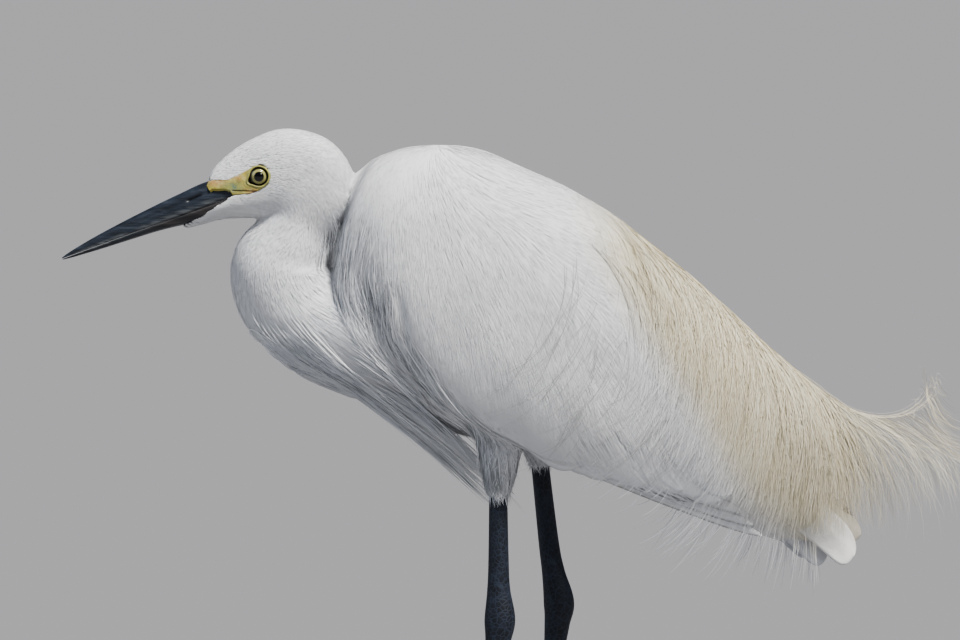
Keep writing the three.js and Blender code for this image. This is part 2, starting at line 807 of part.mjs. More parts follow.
// One toe with its knuckles and its claw, lying on the floor.
function makeToe({ turn, length, radius }, footX, footY, side) {
  const heading = THREE.MathUtils.degToRad(180 + side * turn);
  const ahead = new THREE.Vector3(Math.cos(heading), Math.sin(heading), 0);
  const at = (distance, z) => [footX + ahead.x * distance, footY + ahead.y * distance, z];
  const shares = [0, 0.14, 0.3, 0.44, 0.6, 0.74, 0.88, 1];
  const sizes = [1.25, 1.1, 0.86, 1.0, 0.76, 0.88, 0.66, 0.6];
  const rows = shares.map((share, i) => {
    const half = radius * sizes[i];
    return [...at(length * share, radius * (i ? 0.8 : 1.4)), half, half];
  });
  const claw = [
    [...at(length * 0.94, radius * 0.62), radius * 0.52, radius * 0.46],
    [...at(length * 0.94 + 5, radius * 0.66), radius * 0.4, radius * 0.34],
    [...at(length * 0.94 + 9, radius * 0.36), radius * 0.22, radius * 0.18],
    [...at(length * 0.94 + 11, 0.35), 0.25, 0.25],
  ];
  const leaning = new THREE.Vector3(-ahead.y / 2, ahead.x / 2, Math.cos(Math.PI / 6));
  const upwards = new THREE.Vector3(0, 0, 1);
  return tubeSolid(rows, leaning, length > 40 ? 7 : 5, 6).add(tubeSolid(claw, upwards, 3, 4));
}

// Where the head's rings lie.
const headPlaces = [
  ...new Set([...placesOf(headStations, 1), -130, -119, -107, -95.5, -85.5]),
].sort((a, b) => a - b);

// A side slab ahead of the face line, whose whole front is bill.
const upright = (x, y, z) => new THREE.Vector3(x, y, z);
const faceSlab = (scale) => {
  const line = faceLine.map(([x, z]) => ({
    x: faceLineCentre.x + (x - faceLineCentre.x) * scale,
    z: faceLineCentre.z + (z - faceLineCentre.z) * scale,
  }));
  const ahead = [
    { x: -245, z: 262 },
    { x: -245, z: 360 },
  ];
  return sideSlab([...line, ...ahead], -30, 30);
};

// One half of the bill, above the mouth line for sign 1 and below it for sign -1.
function makeBillHalf(sign) {
  const arc = 8;
  const column = sign > 0 ? 1 : 2;
  const rings = placesOf(billStations, 1).map((s) => {
    const height = smooth(billStations, s, column);
    const half = smooth(billStations, s, 3);
    return Array.from({ length: arc + 1 }, (_, i) => {
      const angle = (Math.PI * i) / arc;
      const out = signedPower(Math.cos(angle), 0.9) * half;
      const rise = sign * (gap / 2 + Math.abs(Math.sin(angle)) ** 0.9 * height);
      const p = billTip.clone().addScaledVector(alongBill, s).addScaledVector(aboveBill, rise);
      return p.setY(out);
    });
  });
  return ringSolid(rings);
}

// A slot that follows the bill's slope, on one side of it.
function nostrilSlot(side) {
  const slot = new THREE.SphereGeometry(1, 8, 6);
  slot.scale(nostril.length / 2, nostril.depth, nostril.height / 2);
  slot.rotateY(-billSlope * 1.3).translate(nostril.x, side * 7, nostril.z);
  return solidOfGeometry(slot);
}

// The rim of the lids round one eye.
function lidRim(side) {
  const ring = new THREE.TorusGeometry(lid.radius, lid.thickness, 4, 12);
  ring.scale(1.08, 0.96, 1).rotateX(Math.PI / 2);
  ring.translate(eyePlace.x, side * (eyePlace.y + lid.out), eyePlace.z);
  return solidOfGeometry(ring);
}

// The head, with lids, lores, and the groove of the mouth behind the bill.
function makeHead() {
  const skull = eggSolid(headStations, headPlaces, 16, 0, upright);
  const inner = eggSolid(headStations, headPlaces, 16, -loreDepth, upright);
  const bare = sideSlab(lore.map(([x, z]) => ({ x, z })), -30, 30).subtract(inner);
  const [gapeX, gapeZ] = faceLine[3];
  const groove = sideSlab(
    [
      { x: gapeX - 2, z: gapeZ + 1.2 },
      { x: gapeX - 2, z: gapeZ - 0.2 },
      { x: mouthEnd[0], z: mouthEnd[1] - 0.4 },
      { x: mouthEnd[0], z: mouthEnd[1] + 0.1 },
    ],
    -30,
    30,
  ).subtract(inner);
  const rims = [-1, 1].map(lidRim);
  return joined([skull.subtract(bare).subtract(groove), ...rims]).subtract(faceSlab(1));
}

const eyes = [-1, 1].map((side) => {
  const centre = { ...eyePlace, y: side * eyePlace.y };
  const ball = (radius) => ellipsoid(centre, radius, radius, radius, 12, 7);
  return { ball: ball(eyeRadius), room: ball(eyeRadius + gap) };
});
const headRoom = eggSolid(headStations, headPlaces, 16, room, upright);
const head = eyes.reduce((solid, eye) => solid.subtract(eye.room), makeHead().subtract(torsoRoom));

// The neck, cut where it meets the head and the torso, and parted at the bend and at the breast.
const neckRows = neckStations.map(([x, z, depth, half]) => [x, 0, z, half, depth]);
const neckTube = tubeSolid(neckRows, new THREE.Vector3(0, 1, 0), 12, 12);
const foldCentre = { x: napeFold.x, y: 0, z: napeFold.z };
const fold = ellipsoid(foldCentre, napeFold.depth, napeFold.halfWidth, napeFold.height, 8, 8);
const neck = neckTube.add(fold).subtract(torsoRoom).subtract(headRoom);
const lowNeck = below(neck, neckSplit);
const { x: splitX, z: splitZ, slopeX, slopeZ } = breastSplit;
const splitAt = splitX * slopeX + splitZ * slopeZ;
const throat = lowNeck.trimByPlane([-slopeX, 0, -slopeZ], -splitAt);
const breastCore = lowNeck.trimByPlane([slopeX, 0, slopeZ], splitAt + gap);

addNode("torso", torso, "plumage");
addNode("neck_upper", above(neck, neckSplit + gap), "plumage");
addNode("neck_lower", throat, "plumage");
addNode("head", head, "plumage");
const mouth = [1, -1].map((sign) => makeBillHalf(sign).intersect(faceSlab(faceLineShrink)));
addNode("bill_upper", [-1, 1].reduce((bill, side) => bill.subtract(nostrilSlot(side)), mouth[0]), "bill");
addNode("bill_lower", mouth[1], "bill");
addNode("eye_left", eyes[0].ball, "eye");
addNode("eye_right", eyes[1].ball, "eye");

const legParts = Object.entries(legs).map(([name, leg]) => ({ name, leg, parts: makeLeg(leg) }));
const tailRoom = makeTail(room);
let mantle = makeMantle().subtract(torsoRoom).subtract(tailRoom);
for (const { name, leg, parts } of legParts) {
  const clear = (solid) => solid.subtract(torsoRoom).subtract(parts.thigh);
  addNode("wing_" + name, clear(makeWing(leg.side, 0)), "plumage");
  addNode("thigh_" + name, parts.thigh.subtract(torsoRoom), "plumage");
  addNode("shank_" + name, parts.shank, "leg");
  addNode("tarsus_" + name, parts.tarsus, "leg");
  addNode("foot_" + name, parts.foot, "foot");
  mantle = mantle.subtract(makeWing(leg.side, room));
}
addNode("tail", makeTail(0).subtract(torsoRoom), "plumage");
addNode("mantle", mantle, "plumes");
const breast = joined([breastCore, ...makeBreastPlumes()]).subtract(torsoRoom);
addNode("breast", breast.trimByPlane([slopeX, 0, slopeZ], splitAt + gap), "plumage");

// The origin is on the floor, under the middle of the bird's outline.
const extent = new THREE.Box3().setFromObject(egret);
egret.position.set(-(extent.min.x + extent.max.x) / 2, -(extent.min.y + extent.max.y) / 2, -extent.min.z);

export default egret;
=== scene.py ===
# A life-size little egret in breeding plumes; lengths are the bird's own millimetres until a mesh is made
import bpy
import numpy as np
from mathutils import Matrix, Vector


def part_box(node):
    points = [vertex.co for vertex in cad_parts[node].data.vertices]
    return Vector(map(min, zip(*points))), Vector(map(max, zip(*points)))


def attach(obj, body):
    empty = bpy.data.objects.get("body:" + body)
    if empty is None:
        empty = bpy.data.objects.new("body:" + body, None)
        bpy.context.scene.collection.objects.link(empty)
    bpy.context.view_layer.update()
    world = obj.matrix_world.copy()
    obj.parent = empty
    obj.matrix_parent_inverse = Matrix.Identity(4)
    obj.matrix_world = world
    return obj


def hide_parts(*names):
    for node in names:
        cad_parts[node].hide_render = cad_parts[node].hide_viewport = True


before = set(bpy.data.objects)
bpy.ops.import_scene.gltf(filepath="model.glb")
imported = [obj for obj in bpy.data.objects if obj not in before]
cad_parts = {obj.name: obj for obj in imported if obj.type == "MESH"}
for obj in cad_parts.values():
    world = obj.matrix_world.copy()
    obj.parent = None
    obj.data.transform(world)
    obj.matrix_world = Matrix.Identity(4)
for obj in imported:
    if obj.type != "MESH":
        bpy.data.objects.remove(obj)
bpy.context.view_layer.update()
billReach = 227.74  # how far the bill's tip lies ahead of the origin of the bird's own frame
birdShift = np.array([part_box("bill_upper")[0].x * 1000 + billReach, 0, 0])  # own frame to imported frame

cameraView = {"lens": 300, "distance": 4.16, "elevation": 3.0, "target": (-10.4, 0, 253)}


def toWorld(points):  # the bird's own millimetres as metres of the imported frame
    return (points + birdShift) / 1000


def unit(vectors):  # each vector divided by its length
    return vectors / np.maximum(np.linalg.norm(vectors, axis=-1, keepdims=True), 1e-9)


# a long lens at the bird's left: the target plus the distance times (0, -cosine, sine) of the elevation
def makeCamera():
    data = bpy.data.cameras.new("portraitCamera")
    data.lens, data.sensor_width = cameraView["lens"], 36
    data.clip_start, data.clip_end = 0.1, 200
    camera = bpy.data.objects.new("portraitCamera", data)
    bpy.context.scene.collection.objects.link(camera)
    rise = np.radians(cameraView["elevation"])
    target = toWorld(np.array(cameraView["target"], float))
    camera.location = target + cameraView["distance"] * np.array([0, -np.cos(rise), np.sin(rise)])
    camera.rotation_euler = (np.pi / 2 - rise, 0, 0)
    bpy.context.scene.camera = camera


makeCamera()
print("camera placed")

# the body's frame: a runs from the shoulders to the tail, h runs up out of the back
bodySlope = np.radians(28)
shoulder = np.array([-60.0, 0, 282])
alongBody = np.array([np.cos(bodySlope), 0, -np.sin(bodySlope)])
outOfBack = np.array([np.sin(bodySlope), 0, np.cos(bodySlope)])


def bodyPoint(a, y, h):  # the shoulder, plus a along the body, h out of the back and y to the side
    flat = shoulder + a[..., None] * alongBody + h[..., None] * outOfBack
    return flat + y[..., None] * np.array([0.0, 1, 0])


def bodyPlace(points):  # a and h of points: their offset from the shoulder along each of the two directions
    away = points - shoulder
    return away @ alongBody, away @ outOfBack


def smoothColumn(table, s, column):  # a cubic through the rows of a table, held at both ends
    rows = np.asarray(table, float)
    knots, values = rows[:, 0], rows[:, column]
    last = len(knots) - 1
    before, after = np.maximum(np.arange(last + 1) - 1, 0), np.minimum(np.arange(last + 1) + 1, last)
    slope = (values[after] - values[before]) / (knots[after] - knots[before])
    i = np.clip(np.searchsorted(knots, s, side="right") - 1, 0, last - 1)
    width = knots[i + 1] - knots[i]
    t = np.clip((s - knots[i]) / width, 0, 1)
    start = (2 * t**3 - 3 * t**2 + 1) * values[i] + (t**3 - 2 * t**2 + t) * width * slope[i]
    return start + (3 * t**2 - 2 * t**3) * values[i + 1] + (t**3 - t**2) * width * slope[i + 1]


def smoothStep(low, high, x):  # 3 t squared less 2 t cubed, where t runs from 0 at low to 1 at high
    t = np.clip((x - low) / (high - low), 0, 1)
    return t * t * (3 - 2 * t)


def lineAt(table, x):  # the second list of a table against its first, straight from knot to knot
    knots, values = list(table.values())[:2]
    return np.interp(x, knots, values)


def bell(x, middle, width):  # a bell curve: the exponent of less the square of the distance over the width
    return np.exp(-(((x - middle) / width) ** 2))


def signedPower(x, power):  # the size of x to a power, with the sign of x
    return np.sign(x) * np.abs(x) ** power


# stations of the plumage's outer surface: a, top, bottom, half width, height of the widest point
plumageStations = [
    [-34, 37, 31, 3, 34], [-31, 45, 16, 17, 30], [-24, 54, -8, 28, 24], [-13, 63.5, -34, 38, 18],
    [0, 71.5, -50, 44, 14], [20, 76.5, -60, 49, 11], [55, 79, -66, 51, 9], [90, 78.5, -69, 51, 6],
    [124, 72, -68, 47, 3], [164, 63, -61, 40, 1], [204, 53, -55, 33, 0], [243, 46, -47, 30, 0],
    [285, 45, -36, 28, 2], [330, 42, -24, 24, 6],
]
# stations of the body under wings and mantle, in the same columns
torsoStations = [
    [-33.8, 37, 31, 3, 34], [-31, 44.6, 17, 16, 30], [-26, 50.5, -2, 24.5, 26], [-13, 57, -31, 33, 18],
    [0, 61.5, -46, 37, 14], [20, 65.5, -57, 40, 10], [55, 67, -61, 41, 7], [85, 65, -57, 40, 5],
    [115, 58, -48, 35, 3], [145, 46, -36, 27, 2], [175, 32, -24, 19, 1], [203, 17, -13, 12, 2],
    [210, 11, -7, 7, 3],
]
# the coat's own body: the plumage's surface, narrowing from the rump into the tail
bodyStations = plumageStations[:10] + [
    [190, 53, -57, 35, 0], [212, 36, -44, 27, -2], [236, 12, -36, 16, -8], [258, -6, -29, 9, -14],
    [276, -17, -25, 3, -20],
]
tailStations = [
    [196, 8, -10, 8, -2], [204, 8, -15, 10, -3], [216, 6.5, -24, 13, -6], [230, 3, -30, 15, -9],
    [246, -3, -30, 13, -14], [262, -11, -27, 8, -18], [275, -18, -24, 3, -21],
]
# the head in world x: x, top, bottom, half width, height of the widest point
headStations = [
    [-167.5, 303, 301.2, 1.2, 302], [-162, 310, 300.9, 5.2, 305], [-152.4, 324.4, 303, 8.2, 312],
    [-149, 331, 304, 9.2, 313], [-143, 337.5, 305.3, 10.6, 315], [-135, 344, 305.9, 12.4, 318],
    [-125, 349, 305.8, 14.2, 321], [-113, 352.4, 304, 16.2, 324], [-101, 351.6, 300, 17.2, 325],
    [-90, 347, 297, 16.6, 324], [-81, 338.5, 302, 12.5, 322], [-76.5, 330.5, 310, 7, 321],
    [-74.6, 326, 317, 2.5, 321.5],
]
# the neck from inside the skull round the bend into the breast: place, x, z, half depth, half width
neckStations = [
    [0, -96, 322, 16, 14], [1, -102, 309, 17.5, 16], [2, -108.6, 294.6, 21, 18], [3, -114.2, 279, 26.2, 20.5],
    [4, -107, 262, 27, 24], [5, -91, 249, 25.6, 29], [6, -72, 239, 24.5, 32], [7, -50, 231, 21, 29],
    [8, -30, 225, 14, 23],
]
neckLast = neckStations[-1][0]
roundness = 2.4  # the power of the rounded sections of head, body and tail


# a rounded section at s: sine and cosine, to the power 2 / roundness, times half width and height
# angle 0 is the top, a quarter turn is the +Y side
def eggPoint(table, s, angle, grow, place):
    top, bottom, half, widest = (smoothColumn(table, s, k) for k in (1, 2, 3, 4))
    rise = signedPower(np.cos(angle), 2 / roundness)
    out = signedPower(np.sin(angle), 2 / roundness)
    reach = np.where(rise > 0, top - widest + grow, widest - bottom + grow)
    return place(s, out * (half + grow), widest + rise * reach)


def uprightPlace(x, y, z):  # a table in x instead of a: the point itself
    return np.stack([x, y, z], -1)


def sideHalf(table, s, h):  # half width at the height h, by the powers of eggPoint
    top, bottom, half, widest = (smoothColumn(table, s, k) for k in (1, 2, 3, 4))
    reach = np.where(h > widest, top - widest, widest - bottom)
    share = np.minimum(np.abs(h - widest) / np.maximum(reach, 0.1), 0.985)
    return half * (1 - share**roundness) ** (1 / roundness)


def sideSurface(table, side, a, h, lift):  # a point of the side at a and h, lifted along its own normal
    y = sideHalf(table, a, h)
    alongA = (sideHalf(table, a + 1, h) - sideHalf(table, a - 1, h)) / 2
    alongH = (sideHalf(table, a, h + 1) - sideHalf(table, a, h - 1)) / 2
    size = np.sqrt(alongA**2 + 1 + alongH**2)
    point = bodyPoint(a - alongA / size * lift, side * (y + lift / size), h - alongH / size * lift)
    normal = bodyPoint(-alongA / size, side / size, -alongH / size) - shoulder
    return point, unit(normal)


# a closed surface of u and v as a grid of points, normals and stretches
# the normal is the cross product of the slopes along u and v, and a stretch is the length of a slope
def makeSurface(pointAt, nu=260, nv=200):
    u, v = np.meshgrid(np.linspace(0, 1, nu), np.arange(nv) / nv, indexing="ij")
    points = pointAt(u, v)
    alongU = np.gradient(points, 1 / (nu - 1), axis=0)
    alongV = (np.roll(points, -1, 1) - np.roll(points, 1, 1)) * nv / 2
    normals = unit(np.cross(alongU, alongV))
    outward = points - points.mean(1, keepdims=True)
    normals *= np.sign((normals * outward).sum())
    stretch = [np.linalg.norm(d, axis=-1, keepdims=True) for d in (alongU, alongV)]
    return np.concatenate([points, normals, *stretch], -1)


def lookUp(surface, u, v):  # bilinear between the surface's grid points; v closes on itself
    nu, nv = surface.shape[:2]
    x, y = np.clip(u, 0, 1) * (nu - 1), np.mod(v, 1) * nv
    i, j = np.minimum(x.astype(int), nu - 2), np.minimum(y.astype(int), nv - 1)
    fx, fy = (x - i)[..., None], (y - j)[..., None]
    k = (j + 1) % nv
    low = surface[i, j] * (1 - fy) + surface[i, k] * fy
    return low * (1 - fx) + (surface[i + 1, j] * (1 - fy) + surface[i + 1, k] * fy) * fx


def eggSurface(table, place):  # the eggPoint sections of a table from its first row to its last
    first, last = table[0][0], table[-1][0]
    return makeSurface(lambda u, v: eggPoint(table, first + (last - first) * u, 2 * np.pi * v, 0.0, place))


# rings square to the neck's line: cosine times depth out of the bend, sine times half width to the side
def neckPoint(u, v, grow=0.0):
    s = u * neckLast
    x, z, depth, half = (smoothColumn(neckStations, s, k) for k in (1, 2, 3, 4))
    dx = smoothColumn(neckStations, s + 0.02, 1) - smoothColumn(neckStations, s - 0.02, 1)
    dz = smoothColumn(neckStations, s + 0.02, 2) - smoothColumn(neckStations, s - 0.02, 2)
    size = np.maximum(np.hypot(dx, dz), 1e-6)
    angle = 2 * np.pi * v
    outX, outZ = dz / size, -dx / size
    out = np.cos(angle) * (depth + grow)
    return np.stack([x + outX * out, np.sin(angle) * (half + grow), z + outZ * out], -1)


neckSurface = makeSurface(neckPoint)
tailSurface = eggSurface(tailStations, bodyPoint)


def insidePolygon(x, z, corners):  # even and odd crossings of a closed line seen from the side
    inside = np.zeros(np.shape(x), bool)
    for (x0, z0), (x1, z1) in zip(corners, corners[1:] + corners[:1]):
        crosses = (z0 > z) != (z1 > z)
        inside ^= crosses & (x < (x1 - x0) * (z - z0) / (z1 - z0 + 1e-12) + x0)
    return inside


def wander(points, seed, scale):  # a smooth random field, about -1 to 1, as a sum of slanted waves
    draw = np.random.default_rng(seed)
    total = 0
    for _ in range(5):
        direction = unit(draw.normal(size=3))
        wave = points @ direction * 2 * np.pi / (scale * draw.uniform(0.7, 1.6))
        total = total + np.sin(wave + draw.uniform(0, 6.3))
    return total / 2.6


# where the plumage is cream: above a line that falls from the middle of the back to under the tail
creamLine = {
    "a": [60, 98, 133, 173, 206, 230, 262], "h": [84, 57, 34, 13, -8, -20, -26],
    "soft": 26, "from": (60, 110),
}


def creamAt(points):  # 0 below the cream line, 1 above it, softly, fading in behind the shoulders
    a, h = bodyPlace(points)
    above = h - lineAt(creamLine, a)
    soft = creamLine["soft"] / 2
    return smoothStep(-soft, soft, above) * smoothStep(*creamLine["from"], a)


def setMarks(mesh, marks):  # one attribute for each mark, with a value at each point
    for key, values in marks.items():
        values = np.asarray(values, np.float32).ravel()
        mesh.attributes.new(key, "FLOAT", "POINT").data.foreach_set("value", values)


# a mesh of points in millimetres and quads, with its UV map, its normals and its marks
def makeMesh(name, points, faces, material, uv=None, uvName="OFBake", normals=None, marks=None):
    mesh = bpy.data.meshes.new(name)
    world = toWorld(points.reshape(-1, 3))
    mesh.vertices.add(len(world))
    mesh.vertices.foreach_set("co", world.astype(np.float32).ravel())
    mesh.loops.add(faces.size)
    mesh.loops.foreach_set("vertex_index", faces.astype(np.int32).ravel())
    mesh.polygons.add(len(faces))
    mesh.polygons.foreach_set("loop_start", np.arange(0, faces.size, faces.shape[1], dtype=np.int32))
    mesh.update(calc_edges=True)
    mesh.validate()
    mesh.shade_smooth()
    if uv is not None:
        layer = mesh.uv_layers.new(name=uvName)
        layer.uv.foreach_set("vector", uv.reshape(-1, 2)[faces.ravel()].astype(np.float32).ravel())
    setMarks(mesh, marks or {})
    if normals is not None:
        mesh.normals_split_custom_set_from_vertices(normals.reshape(-1, 3))
    piece = bpy.data.objects.new(name, mesh)
    bpy.context.scene.collection.objects.link(piece)
    mesh.materials.append(material)
    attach(piece, "root")
    return piece


def gridFaces(rows, columns, closed=False):  # quads between neighbouring points of a grid
    r, c = np.meshgrid(np.arange(rows - 1), np.arange(columns if closed else columns - 1), indexing="ij")
    d = (c + 1) % columns
    here, there = r * columns, (r + 1) * columns
    return np.stack([here + c, here + d, there + d, there + c], -1).reshape(-1, 4)


def outwardFaces(points, faces):  # turns all faces round where the closed surface is inside out
    p = points.reshape(-1, 3)[faces]
    volume = np.einsum("ij,ij->", p[:, 0], np.cross(p[:, 1], p[:, 2]) + np.cross(p[:, 2], p[:, 3]))
    return faces if volume > 0 else faces[:, ::-1]


def cappedTube(grid):  # rings of points closed with a pole at each end
    rows, columns = grid.shape[:2]
    ends = [np.repeat(grid[k].mean(0)[None, None], columns, 1) for k in (0, -1)]
    full = np.concatenate([ends[0], grid, ends[1]], 0)
    faces = gridFaces(rows + 2, columns, True)
    return full, outwardFaces(full, faces)


def newMaterial(name, roughness=0.6, specular=0.4, coat=0.0, sheen=0.0):  # one Principled shader
    material = bpy.data.materials.new(name)
    material.use_nodes = True
    tree = material.node_tree
    shader = tree.nodes["Principled BSDF"]
    shader.inputs["Roughness"].default_value = roughness
    shader.inputs["Specular IOR Level"].default_value = specular
    shader.inputs["Coat Weight"].default_value = coat
    shader.inputs["Coat Roughness"].default_value = 0.03
    shader.inputs["Sheen Weight"].default_value = sheen
    return material, tree, shader


def addNode(tree, kind, **values):  # a node with settings or fixed sockets given by name
    node = tree.nodes.new(kind)
    for key, value in values.items():
        if hasattr(node, key):
            setattr(node, key, value)
        else:
            node.inputs[key.replace("_", " ")].default_value = value
    return node


def attributeOf(tree, name):  # the value of a mesh's mark
    return addNode(tree, "ShaderNodeAttribute", attribute_name=name).outputs["Fac"]


def mixColours(tree, factor, first, second, blend="MIX"):  # each is a socket or a fixed value
    node = tree.nodes.new("ShaderNodeMix")
    node.data_type, node.blend_type = "RGBA", blend
    for socket, value in ((node.inputs[0], factor), (node.inputs[6], first), (node.inputs[7], second)):
        if isinstance(value, bpy.types.NodeSocket):
            tree.links.new(value, socket)
        else:
            socket.default_value = value if isinstance(value, float) else (*value, 1)
    return node.outputs[2]


def noiseAt(tree, scale, detail, stretch=None):  # noise on stretched and turned Object coordinates
    place = tree.nodes.new("ShaderNodeTexCoord").outputs["Object"]
    if stretch is not None:
        mapping = tree.nodes.new("ShaderNodeMapping")
        mapping.inputs["Scale"].default_value = stretch["scale"]
        mapping.inputs["Rotation"].default_value = stretch.get("turn", (0, 0, 0))
        tree.links.new(place, mapping.inputs["Vector"])
        place = mapping.outputs["Vector"]
    noise = addNode(tree, "ShaderNodeTexNoise", Scale=scale, Detail=detail)
    tree.links.new(place, noise.inputs["Vector"])
    return noise.outputs["Fac"]


def rampOf(tree, source, stops):  # colours between the stops, each a place from 0 to 1 and its colour
    ramp, stops = tree.nodes.new("ShaderNodeValToRGB"), list(stops)
    while len(ramp.color_ramp.elements) < len(stops):
        ramp.color_ramp.elements.new(0.5)
    for element, (place, colour) in zip(ramp.color_ramp.elements, stops):
        element.position = place
        element.color = (*colour, 1)
    tree.links.new(source, ramp.inputs["Fac"])
    return ramp.outputs["Color"]


def bumpFrom(tree, shader, height, distance, strength=1.0):  # tilts the normal by a height's slope
    bump = addNode(tree, "ShaderNodeBump", Strength=strength, Distance=distance)
    tree.links.new(height, bump.inputs["Height"])
    tree.links.new(bump.outputs["Normal"], shader.inputs["Normal"])


plumageLook = {
    "white": (0.93, 0.93, 0.925), "greyer": (0.80, 0.815, 0.85), "shade": (0.36, 0.37, 0.38),
    "umber": (0.42, 0.36, 0.24), "cream": (0.62, 0.535, 0.35), "creamLight": (0.82, 0.77, 0.61),
    "roughness": 0.72, "specular": 0.22, "sheen": 0.12,
}


# white to the grey shade colour by the mark toneAndShade, which carries painted shade as well as the strands'
# own tone; the same in cream, mixed by the mark cream; faint grey patches over both
def plumageMaterial(name, bump=0.0):
    look = plumageLook
    material, tree, shader = newMaterial(name, look["roughness"], look["specular"], 0, look["sheen"])
    shader.inputs["Sheen Roughness"].default_value = 0.5
    toneAndShade, cream = attributeOf(tree, "toneAndShade"), attributeOf(tree, "cream")
    white = rampOf(tree, toneAndShade, [(0, look["shade"]), (0.25, look["greyer"]), (1, look["white"])])
    warm = rampOf(tree, toneAndShade, [(0, look["umber"]), (0.2, look["cream"]), (1, look["creamLight"])])
    colour = mixColours(tree, cream, white, warm)
    patches = rampOf(tree, noiseAt(tree, 55.0, 3.0), [(0.3, (0.955, 0.955, 0.96)), (0.7, (1, 1, 1))])
    colour = mixColours(tree, 1.0, colour, patches, "MULTIPLY")
    tree.links.new(colour, shader.inputs["Base Color"])
    if bump:
        bumpFrom(tree, shader, noiseAt(tree, 700.0, 2.0), bump)
    return material


skinMaterial = plumageMaterial("downySkin", bump=0.0004)
coatMaterial = plumageMaterial("softPlumage")

# how the half width of a strand changes from its root to its tip, for each kind of strand
tapers = {
    "coat": [0.8, 1, 0.8, 0.12],
    "hem": [0.8, 1, 0.9, 0.6, 0.1],
    "covert": [0.8, 1, 0.75, 0.1],
    "barb": [0.8, 1, 1, 1, 0.95, 0.85, 0.7, 0.5, 0.15],
    "arc": [0.6, 1, 1, 1, 1, 1, 0.95, 0.9, 0.8, 0.6, 0.4, 0.12],
    "lock": [0.8, *np.linspace(1, 0.9, 8), 0.7, 0.45, 0.12],
    "plume": [0.8, 1, 1, 1, 0.9, 0.75, 0.5, 0.12],
}
pieceLimit = 190000  # the most triangles of one piece


# seeded roots spread evenly over a surface: cells drawn by area times density, and a place at random in each
def scatter(surface, count, density, draw):
    weight = surface[..., 6] * surface[..., 7] * density(surface)
    weight = weight / weight.sum()
    cells = draw.choice(weight.size, count, p=weight.ravel())
    i, j = np.unravel_index(cells, weight.shape)
    u = np.clip((i + draw.uniform(-0.5, 0.5, count)) / (surface.shape[0] - 1), 0, 1)
    return u, np.mod((j + draw.uniform(-0.5, 0.5, count)) / surface.shape[1], 1)


# strands that walk over a surface in equal steps: u grows by cosine, v by sine of a slant, which turns from the
# first to the second of slants by t to a power, while the height goes from the first to the second of levels
def walkSurface(surface, u, v, length, slants, levels, rows, power=1.0, rise=0.7):
    step = length / (rows - 1)
    points, normals = [], []
    for k in range(rows):
        t = k / (rows - 1)
        found = lookUp(surface, u, v)
        points.append(found[:, :3] + found[:, 3:6] * (levels[0] + (levels[1] - levels[0]) * t**rise)[:, None])
        normals.append(found[:, 3:6])
        slant = slants[0] + (slants[1] - slants[0]) * t**power
        u = u + np.cos(slant) * step / np.maximum(found[:, 6], 20)
        v = v + np.sin(slant) * step / np.maximum(found[:, 7], 20)
    return np.stack(points, 1), np.stack(normals, 1)


# flat tapered ribbons: each row of a strand, less and plus its half width along the side direction, which is
# square to the strand and rolled a little; normals lean from the surface's towards the ribbon's own
def ribbonMesh(name, points, normals, halfWidth, shape, roll, rootUv, toneAndShade, material,
               soft=0.8, spread=0.3):
    along = unit(np.gradient(points, axis=1))
    across = unit(np.cross(along, normals))
    facing = unit(np.cross(across, along))
    side = across * np.cos(roll)[:, None, None] + facing * np.sin(roll)[:, None, None]
    offset = side * (halfWidth[:, None] * np.asarray(shape, float))[..., None]
    corners = np.stack([points - offset, points + offset], 2)
    turned = unit(np.cross(side, along))
    blend = unit(normals * soft + turned * (1 - soft))
    shading = unit(np.stack([blend - side * spread, blend + side * spread], 2))
    count, rows = points.shape[:2]
    across01 = np.stack([np.zeros((count, rows)), np.ones((count, rows))], 2)
    along01 = np.broadcast_to(np.linspace(0, 1, rows)[None, :, None], (count, rows, 2))
    uv = rootUv[:, None, None] + 0.003 * np.stack([across01, along01], -1)
    perPiece = pieceLimit // ((rows - 1) * 2)
    pieces = []
    for k, start in enumerate(range(0, count, perPiece)):
        part = slice(start, min(start + perPiece, count))
        n = part.stop - part.start
        base = (np.arange(n)[:, None] * rows + np.arange(rows - 1)[None]).reshape(-1) * 2
        faces = np.stack([base, base + 1, base + 3, base + 2], -1)
        cream = np.repeat(creamAt(points[part]), 2, axis=1)
        marks = {"toneAndShade": np.repeat(toneAndShade[part], rows * 2), "cream": cream}
        pieceName = name if count <= perPiece else name + "_" + str(k + 1)
        pieces.append(makeMesh(pieceName, corners[part], faces, material, uv[part],
                               normals=shading[part], marks=marks))
    print(name, count, "strands,", count * (rows - 1) * 2, "triangles")
    return pieces


# the plumage's outer surface as one rounded union of its parts, kept on a grid of cells
fieldBox = {"low": (-172.0, -62.0, 120.0), "high": (200.0, 62.0, 360.0), "cell": 2.0}
legAside = 21.0  # how far each leg stands from the middle
eyeX, eyeZ = -124.8, 328.1  # the eye's middle
legs = {
    "left": {"side": -1, "hip": (6, 262), "thighEnd": (-1, 161), "coatEnd": (-1, 163),
             "ankle": (-0.6, 98.8), "foot": -8},
    "right": {"side": 1, "hip": (20, 256), "thighEnd": (20.5, 169), "coatEnd": (20, 176),
              "ankle": (30.4, 104), "foot": 22},
}
# the lower edge of the folded wing, a against h
wingEdge = {
    "a": [-40, 4, 18, 31, 53, 83, 121, 144, 173, 206, 243],
    "h": [-90, -74, -52, -44, -47, -49, -49, -44, -42, -38, -31],
}
# the angle between lie and body on the sides, against a
bodyLie = {"a": [-30, 0, 40, 90, 150, 220], "degrees": [76, 64, 54, 44, 30, 22]}


